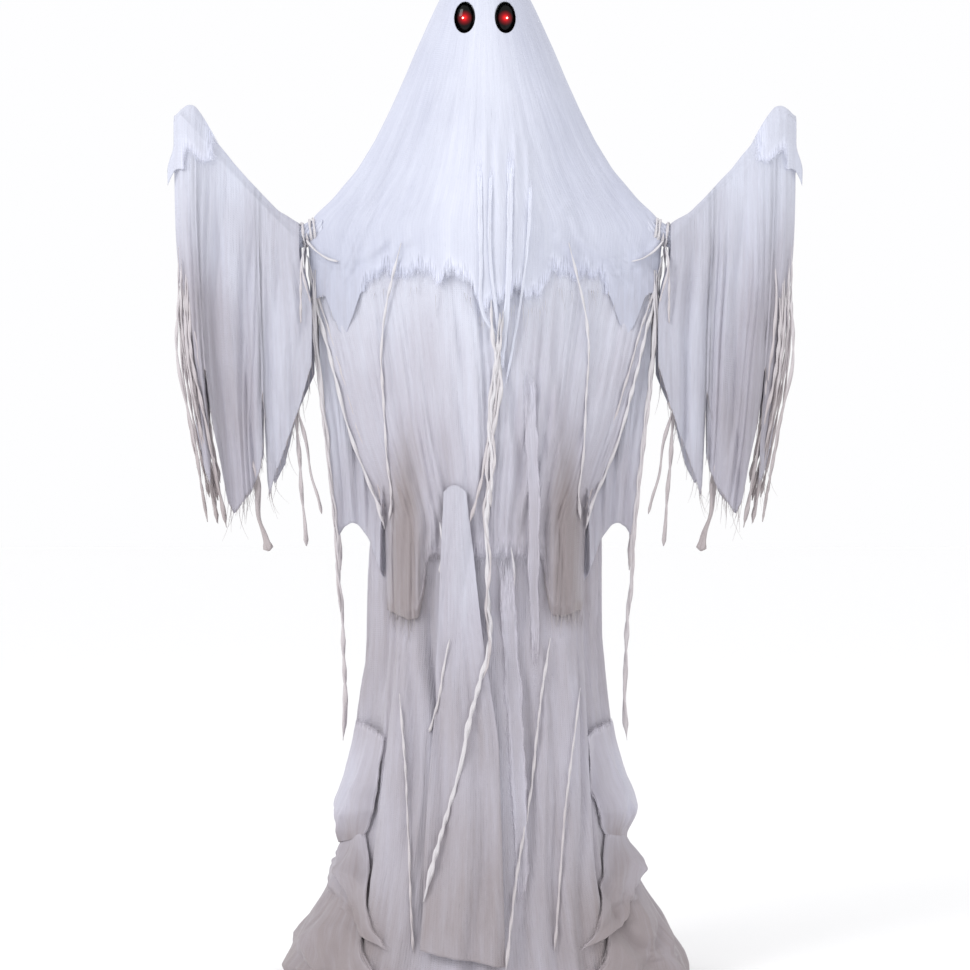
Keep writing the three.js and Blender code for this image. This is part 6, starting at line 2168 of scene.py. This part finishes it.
@dataclass
class Ribbon:
    """A flat torn strip that lies on the cloth behind it."""

    route: Sequence[Sequence[float]]  # [x, z, width] from its top to its lower end
    grime_and_shade: tuple[float, float]  # how much more stained than the robe it is at its top and bottom
    seed: float
    curl: float = 0.0014  # how far its middle stands before its edges
    stand_off: float = 0.0022
    columns: int = 11

    def add_to(self, builder: MeshBuilder, ground: FrontGround) -> None:
        """Adds the strip: its middle line widened to both sides, with small folds along it.

        Args:
            builder: the mesh.
            ground: what it lies on.
        """
        rows = np.array(self.route, float)
        path = ground.laid(rows[:, :2], 0.0)
        reach = np.concatenate([[0], np.cumsum(np.hypot(*np.diff(rows[:, :2], axis=0).T))])
        share = np.linspace(0, 1, len(path))
        width = np.interp(share, reach / reach[-1], rows[:, 2])
        width = width * (1 + 0.22 * NOISE(share * reach[-1] / 0.04 + self.seed, 0.5, 0.5))
        along = unit(np.gradient(path[:, [0, 2]], axis=0))
        across = np.linspace(-1, 1, self.columns)
        x = path[:, :1] - across * along[:, 1:] * width[:, None] / 2
        z = path[:, 2:] + across * along[:, :1] * width[:, None] / 2
        fold = 0.0012 * NOISE(across * 2.2 + self.seed, path[:, 2:] / 0.07, self.seed)
        rise = (0.3 + 0.7 * smoothstep(share, 0.0, 0.25))[:, None]
        y = np.minimum(ground.depth(x, z), path[:, 1:2]) - self.stand_off * rise
        y = y - self.curl * rise * (1 - across**2) - fold
        grime_and_shade = mix(*self.grime_and_shade, share)[:, None] + stain(x, z)
        ends = np.maximum(1 - smoothstep(share, 0.0, 0.30), smoothstep(share, 0.80, 1.0))[:, None]
        sheer = np.maximum(ends, smoothstep(np.abs(across), 0.45, 1.0))
        builder.add_grid(np.stack([x, y, z], -1), grime_and_shade, np.array((0.0, -1.0, 0.0)), sheer=sheer)


@dataclass
class FrontStrips:
    """The torn strips and twisted strands that lie on the figure's front."""

    # The centre rope's route [x, z]
    centre: tuple = (
        (0.030, 1.345), (0.026, 1.300), (0.018, 1.200), (0.010, 1.120), (0.014, 1.040), (0.002, 0.940),
        (0.004, 0.860), (0.006, 0.780), (0.010, 0.694), (-0.010, 0.620), (-0.030, 0.540), (-0.048, 0.454),
        (-0.074, 0.360), (-0.100, 0.270), (-0.120, 0.190),
    )
    # Each: route [x, z], radius, grime at its top and bottom
    strands: tuple = (
        (((0.036, 1.350), (0.030, 1.270), (0.024, 1.190), (0.004, 1.080), (-0.008, 1.010), (-0.030, 0.930)),
         0.0036, 0.1, 0.5),
        (((0.012, 1.370), (0.016, 1.290), (0.032, 1.210), (0.018, 1.120), (0.004, 1.040), (0.012, 0.960)),
         0.0044, 0.0, 0.3),
        (((-0.070, 0.700), (-0.082, 0.640), (-0.092, 0.580), (-0.110, 0.514)), 0.0026, 0.2, 0.4),
        (((-0.170, 0.590), (-0.160, 0.480), (-0.152, 0.340), (-0.146, 0.200), (-0.140, 0.088)),
         0.0026, 0.2, 0.5),
        (((0.130, 0.700), (0.108, 0.560), (0.090, 0.400), (0.062, 0.240), (0.040, 0.060)), 0.0030, 0.2, 0.4),
        (((0.190, 0.600), (0.176, 0.500), (0.160, 0.380), (0.148, 0.240), (0.136, 0.090)), 0.0025, 0.2, 0.5),
        (((-0.090, 0.930), (-0.084, 0.880), (-0.090, 0.830)), 0.0024, 0.0, 0.1),
        (((0.052, 0.880), (0.058, 0.820), (0.050, 0.760)), 0.0022, 0.1, 0.3),
    )
    # The same on both sides: route [distance from the middle, z], radius, grime
    pairs: tuple = (
        (((0.168, 1.490), (0.186, 1.420), (0.199, 1.365), (0.208, 1.285), (0.204, 1.180), (0.197, 1.060),
          (0.188, 0.970), (0.193, 0.930)), 0.0027, 0.0, 0.3),
        (((0.362, 1.500), (0.340, 1.476), (0.318, 1.462), (0.296, 1.456)), 0.0024, 0.1, 0.0),
    )
    # Flat strips: route [x, z, width], and how much more stained than the robe they are at both ends
    ribbons: tuple = (
        (((-0.012, 1.700, 0.014), (-0.010, 1.560, 0.012), (-0.008, 1.450, 0.010), (-0.002, 1.340, 0.009),
          (0.022, 1.300, 0.010), (0.034, 1.210, 0.004)), (-0.2, -0.2)),
        (((0.052, 1.720, 0.018), (0.050, 1.590, 0.015), (0.045, 1.380, 0.015), (0.037, 1.280, 0.012),
          (0.030, 1.190, 0.005)), (-0.2, -0.2)),
        (((0.092, 1.660, 0.010), (0.086, 1.500, 0.008), (0.074, 1.390, 0.006), (0.050, 1.250, 0.006),
          (0.034, 1.170, 0.003)), (-0.2, -0.2)),
        (((0.014, 1.680, 0.010), (0.010, 1.460, 0.008), (0.024, 1.330, 0.009), (0.034, 1.220, 0.005)),
         (-0.2, -0.2)),
        (((0.084, 1.300, 0.026), (0.092, 1.100, 0.030), (0.098, 0.960, 0.030), (0.096, 0.820, 0.026),
          (0.100, 0.700, 0.022), (0.098, 0.600, 0.006)), (0.02, 0.0)),
        (((0.040, 0.940, 0.034), (0.046, 0.760, 0.038), (0.056, 0.600, 0.040), (0.066, 0.420, 0.040),
          (0.072, 0.250, 0.034), (0.070, 0.130, 0.010)), (-0.02, -0.02)),
    )

    def build(self, ground: FrontGround) -> None:
        """Makes the strips, the strands and the centre rope.

        Args:
            ground: what they lie on.
        """
        flat = MeshBuilder()
        for n, (route, grime_and_shade) in enumerate(self.ribbons):
            Ribbon(route, grime_and_shade, 2.7 * n).add_to(flat, ground)
        strips = finish_cloth(flat.build("front_strips"), ROBE_GAUZE, 0.0009)
        lines = [(1, 30.0 + n, line) for n, line in enumerate(self.strands)]
        for side, (n, line) in itertools.product(Side, enumerate(self.pairs)):
            lines.append((side.value, 50.0 + n + side.value, line))
        twisted = MeshBuilder()
        for mirror, seed, (route, radius, clean, foul) in lines:
            path = ground.laid([(mirror * x, z) for x, z in route], 1.3 * radius)
            Strand(path, 0.8 * radius, 0.11, (clean, foul), 0.2, seed).add_to(twisted)
        strands = finish_strands(twisted, "front_strands")
        rope = self._rope(ground)
        lift_with_mast(strips, strands, rope)

    def _rope(self, ground: FrontGround) -> Object:
        """The centre rope: a bright strand with a thinner one wound loosely round it.

        Args:
            ground: what it lies on.

        Returns:
            The rope.
        """
        builder = MeshBuilder()
        line = ground.laid(self.centre, 0.0062)
        Strand(line, 0.0038, 0.100, (0.0, 0.2), 0.3, 40.0).add_to(builder)
        beside = line - (0, 0.002, 0)
        beside[:, 0] += 0.006 * np.sin(np.arange(len(line)) * SPACING / 0.035)
        Strand(beside[: int(0.62 * len(line))], 0.0022, 0.090, (0.1, 0.5), 0.3, 41.0).add_to(builder)
        rope = finish_strands(builder, "centre_rope_strand")
        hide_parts("centre_rope")
        return rope


@dataclass
class ElbowGather:
    """Cloth gathered round an elbow, where the sleeve, the shroud and the upper layer are tied."""

    side: Side
    inner: float = 0.330
    outer: float = 0.394
    radius: float = 0.0215
    columns: int = 72
    rows: int = 40
    # Strips wound round it: x of both ends, angle of the first
    wraps: tuple = ((0.336, 0.362, 0.3), (0.348, 0.374, 2.4))
    # Strips that hang from it: x, y and z of their ends
    tails: tuple = ((0.372, -0.045, 1.330), (0.352, -0.050, 1.372), (0.366, 0.046, 1.400))

    def build(self) -> None:
        """Makes the gathered sleeve and the strips wound round it."""
        s, word = self.side.value, self.side.word
        turn = np.arange(self.columns) / self.columns
        share, turn = np.meshgrid(np.linspace(0, 1, self.rows), turn, indexing="ij")
        wound = TAU * turn + 2.5 * share
        uneven = NOISE(np.cos(wound) * 2, np.sin(wound) * 2, share * 4 + s)
        reach = self.radius + 0.0016 * (rounded(11 * wound) + uneven) + 0.0035 * np.abs(2 * share - 1) ** 3
        x = mix(self.inner, self.outer, share)
        points = self._ring(x, TAU * turn, reach)
        outward = points - self._ring(x, TAU * turn, 0.0)
        mesh = MeshBuilder().add_grid(points, 0.22 + 0.2 * share, outward, around=True)
        piece = finish_cloth(mesh.build("elbow_gather_" + word), SHROUD_GAUZE, 0.0009)
        strips = self._strips(word)
        for each in (piece, strips):
            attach(each, "mast")

    def _ring(self, x: Array, angle: Array, reach: Array) -> Array:
        """Points round the upper arm's axis, at distances from the middle, angles and radii."""
        z = upper_arm_axis(x) + reach * np.cos(angle)
        return np.stack([self.side.value * x, reach * np.sin(angle), z], -1)

    def _strips(self, word: str) -> Object:
        """Two strips wound round the gathers, and three that hang from them.

        Args:
            word: left or right.

        Returns:
            The strips, as one piece.
        """
        builder = MeshBuilder()
        at = np.linspace(0, 1, 40)
        for n, (first, last, start) in enumerate(self.wraps):
            line = self._ring(mix(first, last, at), start + 1.7 * TAU * at, self.radius + 0.0045)
            Strand(line, 0.0023, 0.08, (0.1, 0.2), 0.2, 60.0 + n).add_to(builder)
        for n, (x, y, z) in enumerate(self.tails):
            line = np.array([(0.366, 0.45 * y, 1.490), (0.370, y, 1.450), (x, y, z)])
            line[:, 0] *= self.side.value
            Strand(line, 0.0017, 0.10, (0.1, 0.4), 0.3, 70.0 + n).add_to(builder)
        return finish_strands(builder, "elbow_wraps_" + word)


@dataclass
class Cuff(FoldedCloth):
    """A short torn layer over a hand, with a pointed flap at its outer edge."""

    columns: int = 60
    drops: int = 30
    # Lower edge: [share along the hand, height]
    front_edge: tuple = ((0.00, 1.612), (0.07, 1.650), (0.30, 1.642), (0.60, 1.622), (1.00, 1.668))
    rear_edge: tuple = ((0.00, 1.640), (0.20, 1.655), (0.45, 1.630), (0.75, 1.645), (1.00, 1.672))
    part: float = 0.40  # share of the sleeve's ridge that it covers, from the outer end
    seam: float = 0.225  # reach beyond the elbow at which its flap begins

    @property
    def sleeve(self) -> Sleeve:
        """The sleeve that it lies on."""
        return Sleeve(self.side)

    def ridge(self, along: Array) -> tuple[Array, Array, Array, Array]:
        """A little outside the sleeve's ridge over the hand."""
        x, top, rise, half = self.sleeve.ridge(self.part * along)
        return x, top + 0.0045, rise, half + 0.0055

    def hem(self, along: Array, face: Face) -> Array:
        """The torn lower edge."""
        table = self.front_edge if face is Face.FRONT else self.rear_edge
        return table_curve(table, along, 1, 0.02) - 0.006 * NOISE(along * 9, 0.5, face.value)

    def lean(self, along: Array, z: Array) -> Array:
        """The flap sticks out; the rest hangs as the sleeve does."""
        flap = 0.014 * (1 - smoothstep(along, 0.0, 0.12)) * smoothstep(1.70 - z, 0.0, 0.06)
        return self.sleeve.lean(self.part * along, z) + flap

    def stand_off(self, along: Array, x: Array, z: Array, share: Array, face: Face) -> Array:
        """Just outside the sleeve's folds.

        Args:
            along: shares along the arm, from its outer end.
            x: distances from the middle.
            z: heights.
            share: shares down the layer.
            face: which layer.

        Returns:
            The distances.
        """
        along = self.part * along
        _, top, rise, _ = self.sleeve.ridge(along)
        down = np.clip((top - rise - z) / (top - rise - self.sleeve.hem(along, face)), 0, 1)
        return self.sleeve.stand_off(along, x, z, down, face) + 0.0015 + 0.0015 * share

    def build(self) -> None:
        """Makes the cuff."""
        points, share = self.grid()
        inwards = ELBOW[0] + self.seam - np.abs(points[..., 0])
        sheer = smoothstep(share, 0.25, 0.85) * smoothstep(inwards, -0.01, 0.01)
        sheer = np.maximum(sheer, smoothstep(inwards, 0.03, 0.08))
        word = self.side.word
        mesh = MeshBuilder().add_grid(points, 0.02, self.outward(points), sheer=sheer).build("cuff_" + word)
        piece = finish_cloth(mesh, THIN_GAUZE, 0.0009)
        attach(piece, "forearm_" + word)


def dress_hard_pieces() -> None:
    """Gives every CAD node that stays its finish, by its material slot in the record."""
    for name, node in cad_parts.items():
        finish = HARD_FINISHES.get(node.active_material.name)
        if finish is not None:
            finish.dress(node)
            LOG.info("%s: %s", name, finish.name)


def flex_spring() -> None:
    """Puts a zinc-plated copy of the leaf spring in place of its CAD node, with its place baked in."""
    leaf = add_object("lock_leaf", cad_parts["lock_spring"].data.copy())
    HARD_FINISHES["zinc_steel"].dress(leaf)
    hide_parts("lock_spring")
    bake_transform(leaf)


def main() -> None:
    """Builds the scene: studio, hard pieces, then the cloths from the inside out."""
    logging.basicConfig(level=logging.INFO, format="%(name)s: %(message)s")
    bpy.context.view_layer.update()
    Studio().build()
    dress_hard_pieces()
    flex_spring()
    Robe().build()
    front_layer, panel = UpperLayer(Face.FRONT), FrontPanel()
    front_layer.build()
    UpperLayer(Face.REAR).build()
    panel.build()
    for side in Side:
        SideBunch(side).build()
        SideDrape(side).build()
        Sleeve(side).build()
        Cuff(side).build()
        ElbowGather(side).build()
    SHROUD.build()
    FrontStrips().build(FrontGround(front_layer, panel))
    Eyes().build()


if __name__ == "__main__":
    main()
